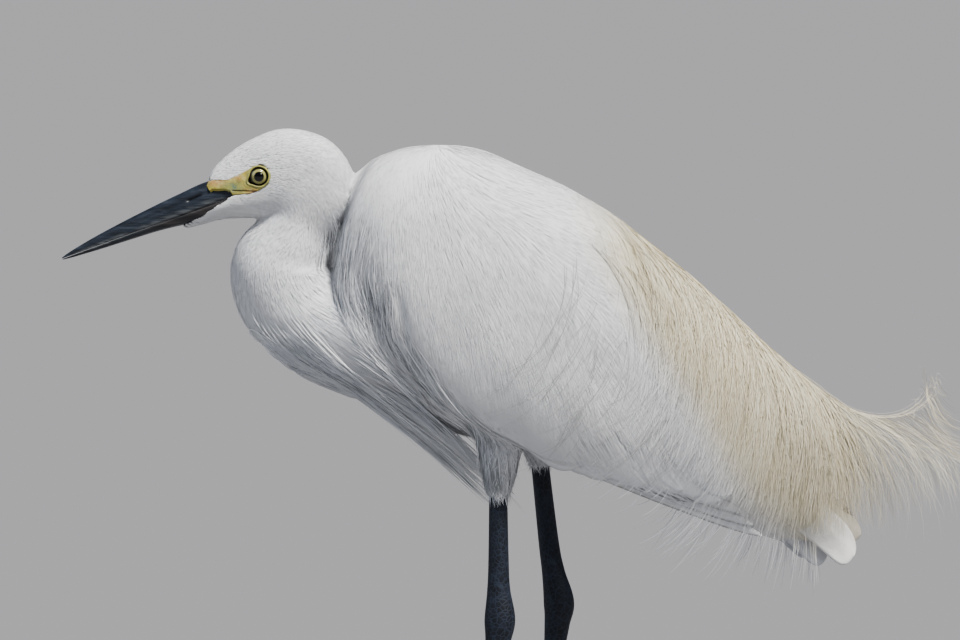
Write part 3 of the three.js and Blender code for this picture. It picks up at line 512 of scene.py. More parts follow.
def thighRows(leg, grow):  # rows of a tapering tube from the hip down: x, y, z, half widths
    y = leg["side"] * legAside
    (hipX, hipZ), (endX, endZ) = leg["hip"], leg["coatEnd"]
    return [
        (hipX, y, hipZ, 25 + grow, 12 + grow),
        ((hipX * 2 + endX) / 3, y, (hipZ * 2 + endZ) / 3, 20 + grow, 13 + grow),
        (endX + 1, y, endZ + 18, 10.5 + grow, 9 + grow),
        (endX, y, endZ, 5.8 + grow, 5.2 + grow),
    ]


# how far a point lies outside a rounded section: its distance from the middle, times 1 less 1 over its share
def radial(across, up, halfAcross, halfUp, power):
    share = (np.abs(across / halfAcross) ** power + np.abs(up / halfUp) ** power) ** (1 / power)
    return (share - 1) * np.hypot(across, up) / np.maximum(share, 0.02)


def beyondEnds(away, beyond):  # past a solid's ends, the root of the squares of both distances
    return np.where(beyond > 0, np.hypot(beyond, np.maximum(away, 0)), away)


def eggDistance(table, s, y, h):  # radial of the section at s, and beyondEnds past the first and the last row
    top, bottom, half, widest = (smoothColumn(table, s, k) for k in (1, 2, 3, 4))
    reach = np.maximum(np.where(h > widest, top - widest, widest - bottom), 0.5)
    away = radial(y, h - widest + 0.001, half, reach, roundness)
    return beyondEnds(away, np.maximum(table[0][0] - s, s - table[-1][0]))


# the nearest place along the neck, its tangent, and the offset out of the bend: away crossed with the tangent
def neckShare(x, z):
    s = np.linspace(0, neckLast, 161)
    centre = np.stack([smoothColumn(neckStations, s, 1), smoothColumn(neckStations, s, 2)], -1)
    along = np.gradient(centre, s, axis=0)
    flat = np.stack([x.ravel(), z.ravel()], -1)
    near = ((flat[:, None] - centre[None]) ** 2).sum(-1).argmin(1)
    away = flat - centre[near]
    place = s[near] + (away * along[near]).sum(-1) / (along[near] ** 2).sum(-1)
    tangent = along[near] / np.linalg.norm(along[near], axis=-1, keepdims=True)
    out = away[:, 0] * tangent[:, 1] - away[:, 1] * tangent[:, 0]
    return place.reshape(x.shape), tangent.reshape(*x.shape, 2), out.reshape(x.shape)


# radial of the section at a place of the neck, with about 20 mm to each place
def neckDistance(place, out, y):
    depth, half = smoothColumn(neckStations, place, 3), smoothColumn(neckStations, place, 4)
    away = radial(y, out + 0.001, half, depth, 2.0)
    return beyondEnds(away, np.maximum(-place, place - neckLast) * 20)


def thighDistance(leg, x, y, z):  # radial of the thigh's round section at the height z
    table = [(row[2], row[0], row[3], row[4]) for row in thighRows(leg, 0.0)][::-1]
    centre, halfX, halfY = (smoothColumn(table, z, k) for k in (1, 2, 3))
    away = radial(x - centre, y - leg["side"] * legAside + 0.001, halfX, halfY, 2.0)
    return beyondEnds(away, np.maximum(table[0][0] - z, z - table[-1][0]))


# the smaller of two distances, rounded off where they are nearly equal
def smoothUnion(first, second, blend):
    t = np.clip(0.5 + 0.5 * (second - first) / blend, 0, 1)
    return second + (first - second) * t - blend * t * (1 - t)


# hollows seen from the side: one before the folded wing, one behind the wing's front edge
# each line has a width, a depth, and the shares of its length where it starts, is full and begins to fade
grooveLines = [
    {"line": [(-81, 309), (-77, 290), (-70, 268), (-61, 247), (-48, 226), (-33, 209)],
     "width": 8.5, "depth": 5.2, "ends": (-0.2, 0.15, 0.7)},
    {"line": [(-52, 272), (-51.5, 262), (-50, 252), (-45, 240)],
     "width": 2.6, "depth": 1.8, "ends": (0, 0.2, 0.75)},
]
# where one part shades another: behind the neck, under the wing's front edge, and in the first hollow
shadeLines = [
    {"line": [(-75, 325), (-80.6, 315.5), (-84.6, 306), (-86.6, 296), (-87.2, 286), (-88.3, 276)],
     "width": 4.2, "depth": 0.8, "ends": (-0.3, 0.0, 0.88)},
    {"line": [(-64, 224), (-40, 207), (-12, 188), (16, 177)],
     "width": 7.0, "depth": 0.6, "ends": (-0.1, 0.2, 0.7)},
    {"line": grooveLines[0]["line"], "width": 7.5, "depth": 0.3, "ends": (-0.2, 0.15, 0.7)},
]
# painted shade: a darker band of colour over the folded wing's lower edge, where the wing curves under into
# shade
wingShade = {"depth": 0.45, "fades": (36, 4), "under": (-20, -6)}  # a band over the folded wing's lower edge


# each line's depth times the bell curve of the distance over its width, fading to its ends
def nearLines(table, x, z):
    total = 0
    for row in table:
        near, share = np.full(np.broadcast(x, z).shape, 1e6), 0
        ends = row["line"]
        for k in range(len(ends) - 1):
            (x0, z0), (x1, z1) = ends[k], ends[k + 1]
            t = (x - x0) * (x1 - x0) + (z - z0) * (z1 - z0)
            t = np.clip(t / ((x1 - x0) ** 2 + (z1 - z0) ** 2), 0, 1)
            away = (x - x0 - t * (x1 - x0)) ** 2 + (z - z0 - t * (z1 - z0)) ** 2
            share = np.where(away < near, (k + t) / (len(ends) - 1), share)
            near = np.minimum(near, away)
        start, full, late = row["ends"]
        faded = smoothStep(start, full, share) * smoothStep(1.01, late, share)
        total = total + row["depth"] * np.exp(-near / row["width"] ** 2) * faded
    return total


def grooves(x, y, z):  # depth of the hollows on both sides of the body
    return nearLines(grooveLines, x, z) * smoothStep(5, 14, np.abs(y))


# painted shade: what the shade lines and the band over the wing's lower edge take off the mark toneAndShade
def shadeAt(points):  # the shade lines, and the band over the wing's lower edge
    a, h = bodyPlace(points)
    above = h - lineAt(wingEdge, a)
    band = wingShade["depth"] * smoothStep(*wingShade["fades"], above) * smoothStep(0, 30, a)
    band = band * smoothStep(*wingShade["under"], above) * smoothStep(6, 14, np.abs(points[..., 1]))
    return nearLines(shadeLines, points[..., 0], points[..., 2]) + band


# each part's distance at points whose x, y and z are given: head, neck, wings, torso and thighs,
# with the neck's tangent and the body's a and h; the neck is looked up once for each x and z of a grid
def parts(x, y, z):
    dx, dz = x - shoulder[0], z - shoulder[2]
    a, h = dx * alongBody[0] + dz * alongBody[2], dx * outOfBack[0] + dz * outOfBack[2]
    seen = np.broadcast_arrays(x, z) if np.ndim(x) == 1 else (x[:, :1], z[:, :1])
    place, tangent, out = neckShare(*seen)
    head = eggDistance(headStations, x, y, z)
    neck = neckDistance(place, out, y)
    fold = radial((x + 83.5), np.hypot(y / 4.5 * 25, z - 299), 8, 25, 2.0)
    edge = lineAt(wingEdge, a) - h
    full = eggDistance(bodyStations, a, y, h)
    wings = -smoothUnion(-full, -edge, 2.6) + grooves(x, y, z)
    torso = eggDistance(torsoStations, a, y, h)
    thighs = np.minimum(thighDistance(legs["left"], x, y, z), thighDistance(legs["right"], x, y, z))
    return head, smoothUnion(neck, fold, 4.0), wings, torso, thighs, tangent, a, h


# the way the feathers lie, as a share of each part's own direction: back on the head, along the neck,
# on the body a cosine of the slant along it less a sine out of it, and down the thighs
def lieField(x, y, weights, tangent, a, h):
    fall = 0.1 + 0.75 * smoothStep(-118, -86, x)
    headLie = unit(np.stack(np.broadcast_arrays(1 + 0 * x, 0 * y, -fall), -1))
    neckLie = np.stack([tangent[..., 0] + 0 * y, 0 * y + 0 * x, tangent[..., 1] + 0 * y], -1)
    top, bottom, widest = (smoothColumn(plumageStations, a, k) for k in (1, 2, 4))
    side = smoothStep(0.08, 0.8, (top - h) / (top - widest))
    side = side + (1 - side) * smoothStep(34, -12, a)
    side = side * (1 - 0.6 * smoothStep(0.3, 0.95, (widest - h) / (widest - bottom)))
    slant = np.radians(lineAt(bodyLie, a)) * side + 0 * y
    bodyLieNow = np.cos(slant)[..., None] * alongBody - np.sin(slant)[..., None] * outOfBack
    thighLie = np.broadcast_to(np.array([0.05, 0, -1.0]), headLie.shape)
    lies = (headLie, neckLie, bodyLieNow, bodyLieNow, thighLie)
    return unit(sum(w[..., None] * lie for w, lie in zip(weights, lies)))


def shares(distances):  # each part's share of a point: exp(-distance / 3), over the sum of all
    weights = [np.exp(-np.clip(d, -12, 40) / 3.0) for d in distances]
    total = sum(weights) + 1e-9
    return [w / total for w in weights]


# the union of all parts on a grid of cells: each distance over its own slope, joined, and waved a little
def buildField():
    bounds = zip(fieldBox["low"], fieldBox["high"])
    axes = [np.arange(low, high + 0.1, fieldBox["cell"]) for low, high in bounds]
    x, y, z = np.meshgrid(*axes, indexing="ij")
    head, neck, wings, torso, thighs, tangent, a, h = parts(x, y, z)
    calm = []
    for distance in (head, neck, wings, torso, thighs):
        slope = np.sqrt(sum(g**2 for g in np.gradient(distance, fieldBox["cell"])))
        calm.append(distance / np.clip(slope, 0.8, 4))
    lie = lieField(x, y, shares(calm), tangent, a, h)
    head, neck, wings, torso, thighs = calm
    blend = 1.4 + 9.0 * smoothStep(272, 244, z)
    chin = 1.6 + 5.5 * smoothStep(-122, -104, x)
    whole = smoothUnion(smoothUnion(head, neck, chin), smoothUnion(wings, torso, 2.5), blend)
    whole = smoothUnion(whole, thighs, 6.0)
    place = np.stack([x, y, z], -1)
    waves = 0.5 * wander(place * np.array([1, 1, 0.8]), 72, 62) * smoothStep(-80, -30, x)
    whole = whole + 0.35 * wander(place, 71, 30) + waves
    slope = np.gradient(whole, fieldBox["cell"])
    return np.concatenate([np.stack([whole, *slope], -1), lie], -1).astype(np.float32)


field = buildField()
print("field of the plumage", field.shape)


def fieldAt(points):  # distance, its slope and the lie, as shares of the eight cells round a point
    place = (points - np.array(fieldBox["low"])) / fieldBox["cell"]
    place = np.clip(place, 0, np.array(field.shape[:3]) - 1.001)
    low = place.astype(int)
    t = (place - low).astype(np.float32)
    total = 0
    for dx in (0, 1):
        for dy in (0, 1):
            for dz in (0, 1):
                share = np.abs(1 - dx - t[..., 0]) * np.abs(1 - dy - t[..., 1]) * np.abs(1 - dz - t[..., 2])
                total = total + field[low[..., 0] + dx, low[..., 1] + dy, low[..., 2] + dz] * share[..., None]
    return total[..., 0], total[..., 1:4], total[..., 4:7]


def settle(points, level, steps=2):  # steps down the slope to a chosen height over the surface
    for _ in range(steps):
        distance, slope, _ = fieldAt(points)
        points = points - ((distance - level) / np.maximum((slope**2).sum(-1), 0.2))[..., None] * slope
    return points


# the skin: the flesh inside the plumage, one closed surface remeshed from overlapping lofts
skinDepth = {"head": 0.7, "neck": 0.9, "body": 1.0, "thighs": 1.0, "wing": 3.6, "bill": 4.2, "voxel": 0.0018}


# rings of an elliptic tube along a smooth line of rows: the centre plus cosine and sine times the half widths
def tubePoints(rows, nu, nv, reference, first=0.0, last=1.0):
    table = np.column_stack([np.arange(len(rows)), np.array(rows, float)])
    s = np.linspace(first, last, nu) * (len(rows) - 1)
    centre = np.stack([smoothColumn(table, s, k) for k in (1, 2, 3)], -1)
    along = unit(np.gradient(centre, axis=0))
    reference = np.asarray(reference, float)
    side = unit(reference - (along @ reference)[:, None] * along)
    other = np.cross(along, side)
    angle = np.arange(nv) / nv * 2 * np.pi
    halves = [smoothColumn(table, s, k)[:, None, None] for k in (4, 5)]
    ring = side[:, None] * np.cos(angle)[None, :, None] * halves[0]
    return centre[:, None] + ring + other[:, None] * np.sin(angle)[None, :, None] * halves[1]


# the bare skin before and round the eye, and the bill's seat, as seen from the side
loreOutline = [
    (-153.4, 324.2), (-152.5, 325.1), (-148.2, 325.9), (-143.3, 326.2), (-137, 328.6), (-131.4, 331.4),
    (-129, 333.2), (-125.3, 334.1), (-121.7, 333.1), (-119.3, 330.2), (-119.1, 327.1), (-120.6, 324.2),
    (-123.4, 321.9), (-126.6, 320.3), (-130, 319.5), (-134.6, 318.8), (-138.5, 318.6), (-140.1, 320.4),
    (-146.5, 320.9), (-151.8, 321.9),
]
billSocket = [
    (-153, 324.6), (-149.2, 321.6), (-140.5, 321.2), (-137.6, 318.4), (-144, 314.2), (-153.4, 308.9),
    (-166.4, 301.7), (-245, 262), (-245, 340),
]


def fromEye(points):  # distance from the eye's middle, seen from the side
    return np.hypot(points[..., 0] - eyeX, points[..., 2] - eyeZ)


def bareWing(points):  # the rear of the folded wing, where broad feathers show
    a, h = bodyPlace(points)
    return smoothStep(86, 122, a) * smoothStep(20, -2, h) * smoothStep(10, 18, np.abs(points[..., 1]))


# closed lofts of head, neck, torso, tail, the ball that fills the bend, the feathered body and both thighs,
# each a grid of rings: the same sections as the distances', made smaller
def skinLofts():
    shapes = []
    v = np.arange(64) / 64

    def loft(pointAt, first, last, rows=70):  # the rings of pointAt from first to last, closed at both ends
        u = np.linspace(first, last, rows)
        shapes.append(cappedTube(pointAt(*np.meshgrid(u, v, indexing="ij"))))

    def egg(table, place, shrink, first, last):  # the eggPoint sections of a table, made smaller all round
        loft(lambda s, turn: eggPoint(table, s, 2 * np.pi * turn, -shrink, place), first, last)

    egg(headStations, uprightPlace, 0.8, -165.5, -77)
    loft(lambda s, turn: neckPoint(s / neckLast, turn, -1.7), 0, neckLast)
    egg(torsoStations, bodyPoint, 2.0, -31, 205)
    egg(tailStations, bodyPoint, 2.0, 197, 272)
    polar, turn = np.meshgrid(np.linspace(0.02, np.pi - 0.02, 24), v * 2 * np.pi, indexing="ij")
    ball = np.stack([np.sin(polar) * np.cos(turn), np.sin(polar) * np.sin(turn), np.cos(polar)], -1)
    shapes.append(cappedTube(ball * np.array([7, 4, 28]) + np.array([-83.5, 0, 301])))
    # the body under back and wings: the upper part of the plumage, closed along the wing's lower edge
    s, turn = np.meshgrid(np.linspace(-30, 272, 110), np.linspace(-1, 1, 80), indexing="ij")
    shell = eggPoint(bodyStations, s, turn * np.pi, -1.5, bodyPoint)
    a, h = bodyPlace(shell)
    low = np.maximum(lineAt(wingEdge, a) + 3 - h, 0)
    shapes.append(cappedTube(shell + outOfBack * low[..., None]))
    for leg in legs.values():
        shapes.append(cappedTube(tubePoints(thighRows(leg, -1.6), 30, 32, (1, 0, 0))[:, ::-1]))
    return shapes


# each part's share of the points, and their a and h on the body
def ownersAt(points):
    *distances, _, a, h = parts(points[:, 0], points[:, 1], points[:, 2])
    return shares(distances), a, h


def coatDepth(weights):  # how deep the skin lies under the plumage's surface
    return sum(w * skinDepth[key] for w, key in zip(weights, ("head", "neck", "body", "body", "thighs")))


# the lofts as one remeshed surface, then each point moved down the field's slope to the coat's depth
def makeSkin():
    points, faces, start = [], [], 0
    for grid, quads in skinLofts():
        points.append(grid.reshape(-1, 3))
        faces.append(quads + start)
        start += len(points[-1])
    piece = makeMesh("skin", np.concatenate(points), np.concatenate(faces), skinMaterial)
    remesh = piece.modifiers.new("oneSkin", "REMESH")
    remesh.mode, remesh.voxel_size = "VOXEL", skinDepth["voxel"]
    calm = piece.modifiers.new("calm", "SMOOTH")
    calm.factor, calm.iterations = 0.5, 3
    graph = bpy.context.evaluated_depsgraph_get()
    made = bpy.data.meshes.new_from_object(piece.evaluated_get(graph))
    piece.modifiers.clear()
    piece.data = made
    made.shade_smooth()
    co = np.zeros(len(made.vertices) * 3, np.float32)
    made.vertices.foreach_get("co", co)
    own = co.reshape(-1, 3) * 1000 - birdShift
    # where the plumage's surface is near, the skin settles under it by the coat's depth
    weights, _, _ = ownersAt(own)
    depth = coatDepth(weights) + skinDepth["wing"] * bareWing(own)
    distance, _, _ = fieldAt(own)
    inside = np.all((own > np.array(fieldBox["low"]) + 4) & (own < np.array(fieldBox["high"]) - 4), -1)
    share = (np.abs(distance + depth) < 6) * inside
    share = share * smoothStep(192, 182, own[:, 0]) * smoothStep(-167, -164, own[:, 0])
    own = own + (settle(own, -depth) - own) * share[:, None]
    under = insidePolygon(own[:, 0], own[:, 2], billSocket) & (np.abs(own[:, 1]) > 1)
    away = fromEye(own)
    hollow = smoothStep(7.2, 5.0, away) * 3.4 + 1.3 * insidePolygon(own[:, 0], own[:, 2], loreOutline)
    hollow = np.where((np.abs(own[:, 1]) > 5) & (own[:, 0] > -152), hollow, 0)
    own = own + (settle(own, -skinDepth["head"] - hollow) - own) * (hollow > 0.05)[:, None]
    sunk = settle(own, -skinDepth["bill"])
    own = own + (sunk - own) * (under * smoothStep(-137.5, -140, own[:, 0]))[:, None]
    made.vertices.foreach_set("co", toWorld(own).astype(np.float32).ravel())
    made.update()
    # the skin's mark toneAndShade is lowered by shadeAt: painted shade behind the neck, under the wing's front
    # edge, in the hollow and over the wing's lower edge
    setMarks(made, {"toneAndShade": 0.75 - shadeAt(own), "cream": creamAt(own)})
    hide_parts("torso", "neck_upper", "neck_lower", "head", "thigh_left", "thigh_right")
    made.calc_loop_triangles()
    corners = np.zeros(len(made.loop_triangles) * 3, np.int32)
    made.loop_triangles.foreach_get("vertices", corners)
    print("skin", len(corners) // 3, "triangles")
    return own, corners.reshape(-1, 3)


skinPoints, skinTriangles = makeSkin()

# the short coat: silky barbs over head, neck, body and thighs, rooted at the skin and lying along it
coatLook = {
    "count": 172000, "perHead": 4.0, "perNeck": 2.0, "perBody": 1.1, "perTorso": 1.0, "perThigh": 2.4,
    "lengths": {"head": (3.0, 6.6), "neck": (8, 15), "body": (17, 32), "torso": (12, 20), "thighs": (9, 16)},
    "halves": {"head": 0.19, "neck": 0.27, "body": 0.34, "torso": 0.26, "thighs": 0.22},
    "pieces": [("headCoat", 0.97, 0.05), ("neckCoat", 0.95, 0.06), ("bodyCoat", 0.985, 0.03),
               ("thighCoat", 0.45, 0.25)],
}


# seeded roots over the skin's triangles: a triangle drawn by area times density, and a place at random in it
def rootsOnSkin(draw, count):
    corner = skinPoints[skinTriangles]
    centre = corner.mean(1)
    area = np.linalg.norm(np.cross(corner[:, 1] - corner[:, 0], corner[:, 2] - corner[:, 0]), axis=-1)
    weights, a, _ = ownersAt(centre)
    keys = ("perHead", "perNeck", "perBody", "perTorso", "perThigh")
    density = sum(w * coatLook[key] for w, key in zip(weights, keys))
    density = density * (1 - 0.985 * bareWing(centre)) * (a < 262)
    weight = area * density
    pick = draw.choice(len(weight), count, p=weight / weight.sum())
    far, turn = np.sqrt(draw.uniform(size=(count, 1))), draw.uniform(size=(count, 1))
    chosen = corner[pick]
    return chosen[:, 0] * (1 - far) + chosen[:, 1] * far * (1 - turn) + chosen[:, 2] * far * turn


# strands that walk along the lie in equal steps, turned by a stray angle, and settle each time
def growOnField(roots, length, stray, lifts, rows):
    points, normals = [], []
    place = settle(roots, lifts[0])
    for k in range(rows):
        _, slope, lie = fieldAt(place)
        normal = unit(slope)
        ahead = unit(lie - (lie * normal).sum(-1, keepdims=True) * normal)
        side = np.cross(normal, ahead)
        ahead = ahead * np.cos(stray)[:, None] + side * np.sin(stray)[:, None]
        points.append(place)
        normals.append(normal)
        nextT = min((k + 1) / (rows - 1), 1)
        level = lifts[0] + (lifts[1] - lifts[0]) * nextT**0.7
        place = settle(place + ahead * (length / (rows - 1))[:, None], level, 1)
    return np.stack(points, 1), np.stack(normals, 1)


# islands side by side: u runs along head, neck, body and thighs, v is the angle round them
def unwrapOf(roots, weights, place, a):
    x, y, z = roots.T
    angle = {
        "head": np.arctan2(y, z - 322),
        "neck": np.arctan2(y, smoothColumn(neckStations, place, 2) - z + 0.01),
        "body": np.arctan2(y, bodyPlace(roots)[1]), "thighs": np.arctan2(y - np.sign(y) * legAside, x - 10),
    }
    along = {
        "head": 0.01 + 0.17 * (x + 168) / 95, "neck": 0.2 + 0.22 * place / 8,
        "body": 0.44 + 0.42 * (a + 34) / 250,
        "thighs": 0.9 + 0.04 * (np.sign(y) + 1) + 0.03 * (z - 160) / 100,
    }
    owner = np.argmax(np.stack([weights[0], weights[1], weights[2] + weights[3], weights[4]]), 0)
    keys = ("head", "neck", "body", "thighs")
    u = np.choose(owner, [along[key] for key in keys])
    v = np.choose(owner, [angle[key] for key in keys]) / (2 * np.pi) + 0.5
    return np.stack([np.clip(u, 0, 0.996), np.clip(v * 0.99, 0, 0.996)], -1), owner


# each strand's length, width, height and toneAndShade are shares of its parts' values, waved and drawn at
# random; toneAndShade is also lowered by painted shade
def makeCoat():
    draw = np.random.default_rng(21)
    roots = rootsOnSkin(draw, coatLook["count"])
    away = fromEye(roots)
    x, z = roots[:, 0], roots[:, 2]
    bare = insidePolygon(x, z, loreOutline) | insidePolygon(x, z, billSocket)
    roots = roots[~bare & ~((away < 6.2) & (x > -150))]
    n, away = len(roots), fromEye(roots)
    weights, a, h = ownersAt(roots)
    place, _, _ = neckShare(roots[:, 0], roots[:, 2])
    keys = ("head", "neck", "body", "torso", "thighs")
    grown = {
        "head": smoothStep(-150, -85, roots[:, 0]), "neck": smoothStep(2, 6, place),
        "body": smoothStep(-20, 60, a), "torso": smoothStep(-20, 60, a),
        "thighs": smoothStep(160, 200, roots[:, 2]),
    }
    length = 0
    for w, key in zip(weights, keys):
        short, long = coatLook["lengths"][key]
        length = length + w * (short + (long - short) * grown[key])
    length = length * draw.uniform(0.75, 1.2, n) * (0.5 + 0.5 * smoothStep(6, 15, away) + 0.5 * (away > 60))
    half = sum(w * coatLook["halves"][key] for w, key in zip(weights, keys)) * draw.uniform(0.75, 1.2, n)
    loose = 0.05 - 0.03 * weights[0] + 0.13 * weights[1] + 0.45 * (weights[3] + weights[4])
    loose = loose + 0.07 * (1 - weights[0]) * smoothStep(0.1, 0.9, wander(roots, 9, 34))
    stray = 0.10 * wander(roots, 5, 24) + 0.14 * wander(roots, 6, 70)
    stray = stray + draw.normal(0, 0.04 + 0.05 * weights[0], n)
    tip = 0.12 + loose * np.abs(draw.normal(0, 1.0, n))
    points, normals = growOnField(roots, length, stray, (-coatDepth(weights) - 0.1, tip), 4)
    streak = wander(np.stack([h * 2.2 - a * 0.9, roots[:, 1] * 0.5, a * 0.35 + h * 0.2], -1), 8, 22)
    toneAndShade = 0.8 + (0.05 + 0.05 * weights[0]) * draw.normal(size=n) + 0.10 * streak
    toneAndShade = toneAndShade + 0.12 * weights[0] * wander(roots, 10, 6) - 0.1 * weights[1]
    # painted shade: darker along the shade lines, over the wing's lower edge, and on the torso under the wings
    toneAndShade = toneAndShade - shadeAt(roots) - 0.2 * weights[3]
    # painted shade: the thighs' strands darker on the whole, as in the shade under the body, with random tone
    # on top
    toneAndShade = toneAndShade - weights[4] * (0.22 - 0.3 * wander(roots, 11, 5) - 0.12 * draw.normal(size=n))
    toneAndShade = np.clip(toneAndShade, 0, 1)
    uv, owner = unwrapOf(roots, weights, place, a)
    roll = draw.normal(0, 0.1, n)
    for k, (name, soft, spread) in enumerate(coatLook["pieces"]):
        mine = owner == k
        ribbonMesh(name, points[mine], normals[mine], half[mine], tapers["coat"], roll[mine], uv[mine],
                   toneAndShade[mine], coatMaterial, soft=soft, spread=spread)


makeCoat()


# loose barbs where the thighs' coat ends: from a ring round the shank they fall by t times their length,
# swelling out by 1.3 times the root of t less 1.2 t squared
def makeThighHems():
    draw = np.random.default_rng(48)
    for handed, leg in legs.items():
        n, rows = 900, 5
        x, z = leg["coatEnd"]
        turn, level = draw.uniform(0, 2 * np.pi, n), 1.5 + 24 * draw.uniform(size=n) ** 1.6
        radius = 5.2 + 0.24 * level
        out = np.stack([np.cos(turn), np.sin(turn), 0 * turn], -1)
        length = draw.uniform(3, 8, n)
        t = np.linspace(0, 1, rows)[None, :, None]
        root = np.array([x + 0.5, leg["side"] * legAside, z]) + out * (radius - 1.4)[:, None]
        root = root + np.array([0, 0, 1.0]) * level[:, None]
        sway = np.stack([draw.normal(0.5, 1.6, n), draw.normal(0, 1.3, n), 0 * turn], -1)
        points = root[:, None] + out[:, None] * (1.3 * t**0.5 - 1.2 * t**2)
        points = points + np.array([0, 0, -1.0]) * length[:, None, None] * t + sway[:, None] * t**1.6
        normals = np.broadcast_to(out[:, None], points.shape)
        uv = np.stack([0.9 + 0.04 * (leg["side"] + 1) + 0.01 * turn / 6.3, level / 20], -1)
        # the hem's toneAndShade is drawn low: painted shade under the body, varied at random
        half, roll, toneAndShade = draw.uniform(0.09, 0.18, n), draw.normal(0, 0.5, n), draw.uniform(0.05, 0.6, n)
        ribbonMesh("thighHem" + handed.capitalize(), points, normals, half, tapers["hem"], roll, uv, toneAndShade,
                   coatMaterial, soft=0.75, spread=0.2)


makeThighHems()


# broad feathers of wings and tail: white or warm by the mark toneAndShade, which also carries painted shade;
# grey along the shaft and along a painted shadow line, by the mark shaftAndShadowLine; ridged by the sine of
# the mark barb
def featherMaterial(name):
    material, tree, shader = newMaterial(name, 0.55, 0.3, 0, 0.08)
    toneAndShade, cream, shaftAndShadowLine = (attributeOf(tree, key) for key in ("toneAndShade", "cream", "shaftAndShadowLine"))
    white = rampOf(tree, toneAndShade, [(0, (0.55, 0.57, 0.61)), (0.45, (0.82, 0.83, 0.85)), (1, (0.94, 0.94, 0.93))])
    warm = rampOf(tree, toneAndShade, [(0, (0.42, 0.38, 0.30)), (0.45, (0.8, 0.76, 0.64)), (1, (0.9, 0.86, 0.74))])
    colour = mixColours(tree, cream, white, warm)
    colour = mixColours(tree, shaftAndShadowLine, colour, (0.30, 0.30, 0.30))
    tree.links.new(colour, shader.inputs["Base Color"])
    wave = addNode(tree, "ShaderNodeMath", operation="SINE")
    tree.links.new(attributeOf(tree, "barb"), wave.inputs[0])
    bumpFrom(tree, shader, wave.outputs[0], 0.00006, 0.5)
    return material


vaneMaterial = featherMaterial("broadFeather")

barbGap = 0.9  # from one barb's ridge to the next
# rows of the folded wing from below: roots and tips of the first and the last feather, as a and h
wingTiers = [
    {"count": 3, "roots": [(100, -47), (110, -36)], "tips": [(240, -33.5), (224, -27)], "halves": (2.7, 3.4),
     "lifts": (-2.2, -3.6), "bow": -2, "tip": 0.6, "tilt": 0.9},
    {"count": 9, "roots": [(58, -24), (108, 8)], "tips": [(138, -44), (210, -25)], "halves": (8.8, 9.8),
     "lifts": (-2.6, -0.6), "bow": -3, "tip": 0.45, "tilt": 0.6},
    {"count": 5, "roots": [(96, 8), (112, 30)], "tips": [(213, -19), (200, 4)], "halves": (10.5, 9.5),
     "lifts": (-2.4, -0.3), "bow": 4, "tip": 0.45, "tilt": 0.6},
]


# half width along a feather: narrow at the root, full, then a rounded end whose length grows with tip
def vaneShape(t, tip, blunt=2.0):
    root = 0.45 + 0.55 * np.sqrt(np.clip(t / 0.4, 0, 1))
    end = np.clip((1 - t) / (0.32 * tip), 0, 1)
    return root * (1 - (1 - end) ** blunt) ** (1 / blunt)


def barbRidges(t, q, long, half):  # the mark barb: a full turn for each gap, slanting out from the shaft
    return (t * long + np.abs(q) * half * 1.2) * 2 * np.pi / barbGap


# vanes as one mesh of grids with a thickness, turned round for those that turned names
# each vane has its points, its place on the map, and the marks toneAndShade, shaftAndShadowLine, barb and cream
def vaneMesh(name, vanes, turned, thickness):
    grid, uv, *marks = (np.stack(values) for values in zip(*vanes))
    rows, columns = grid.shape[1:3]
    faces = gridFaces(rows, columns)
    faces = np.where(np.asarray(turned)[:, None, None], faces[None, :, ::-1], faces[None])
    faces = (np.arange(len(grid))[:, None, None] * rows * columns + faces).reshape(-1, 4)
    marks = dict(zip(("toneAndShade", "shaftAndShadowLine", "barb", "cream"), marks))
    piece = makeMesh(name, grid, faces, vaneMaterial, uv, marks=marks)
    solid = piece.modifiers.new("vaneThickness", "SOLIDIFY")
    solid.thickness, solid.offset = thickness, -1
    return piece


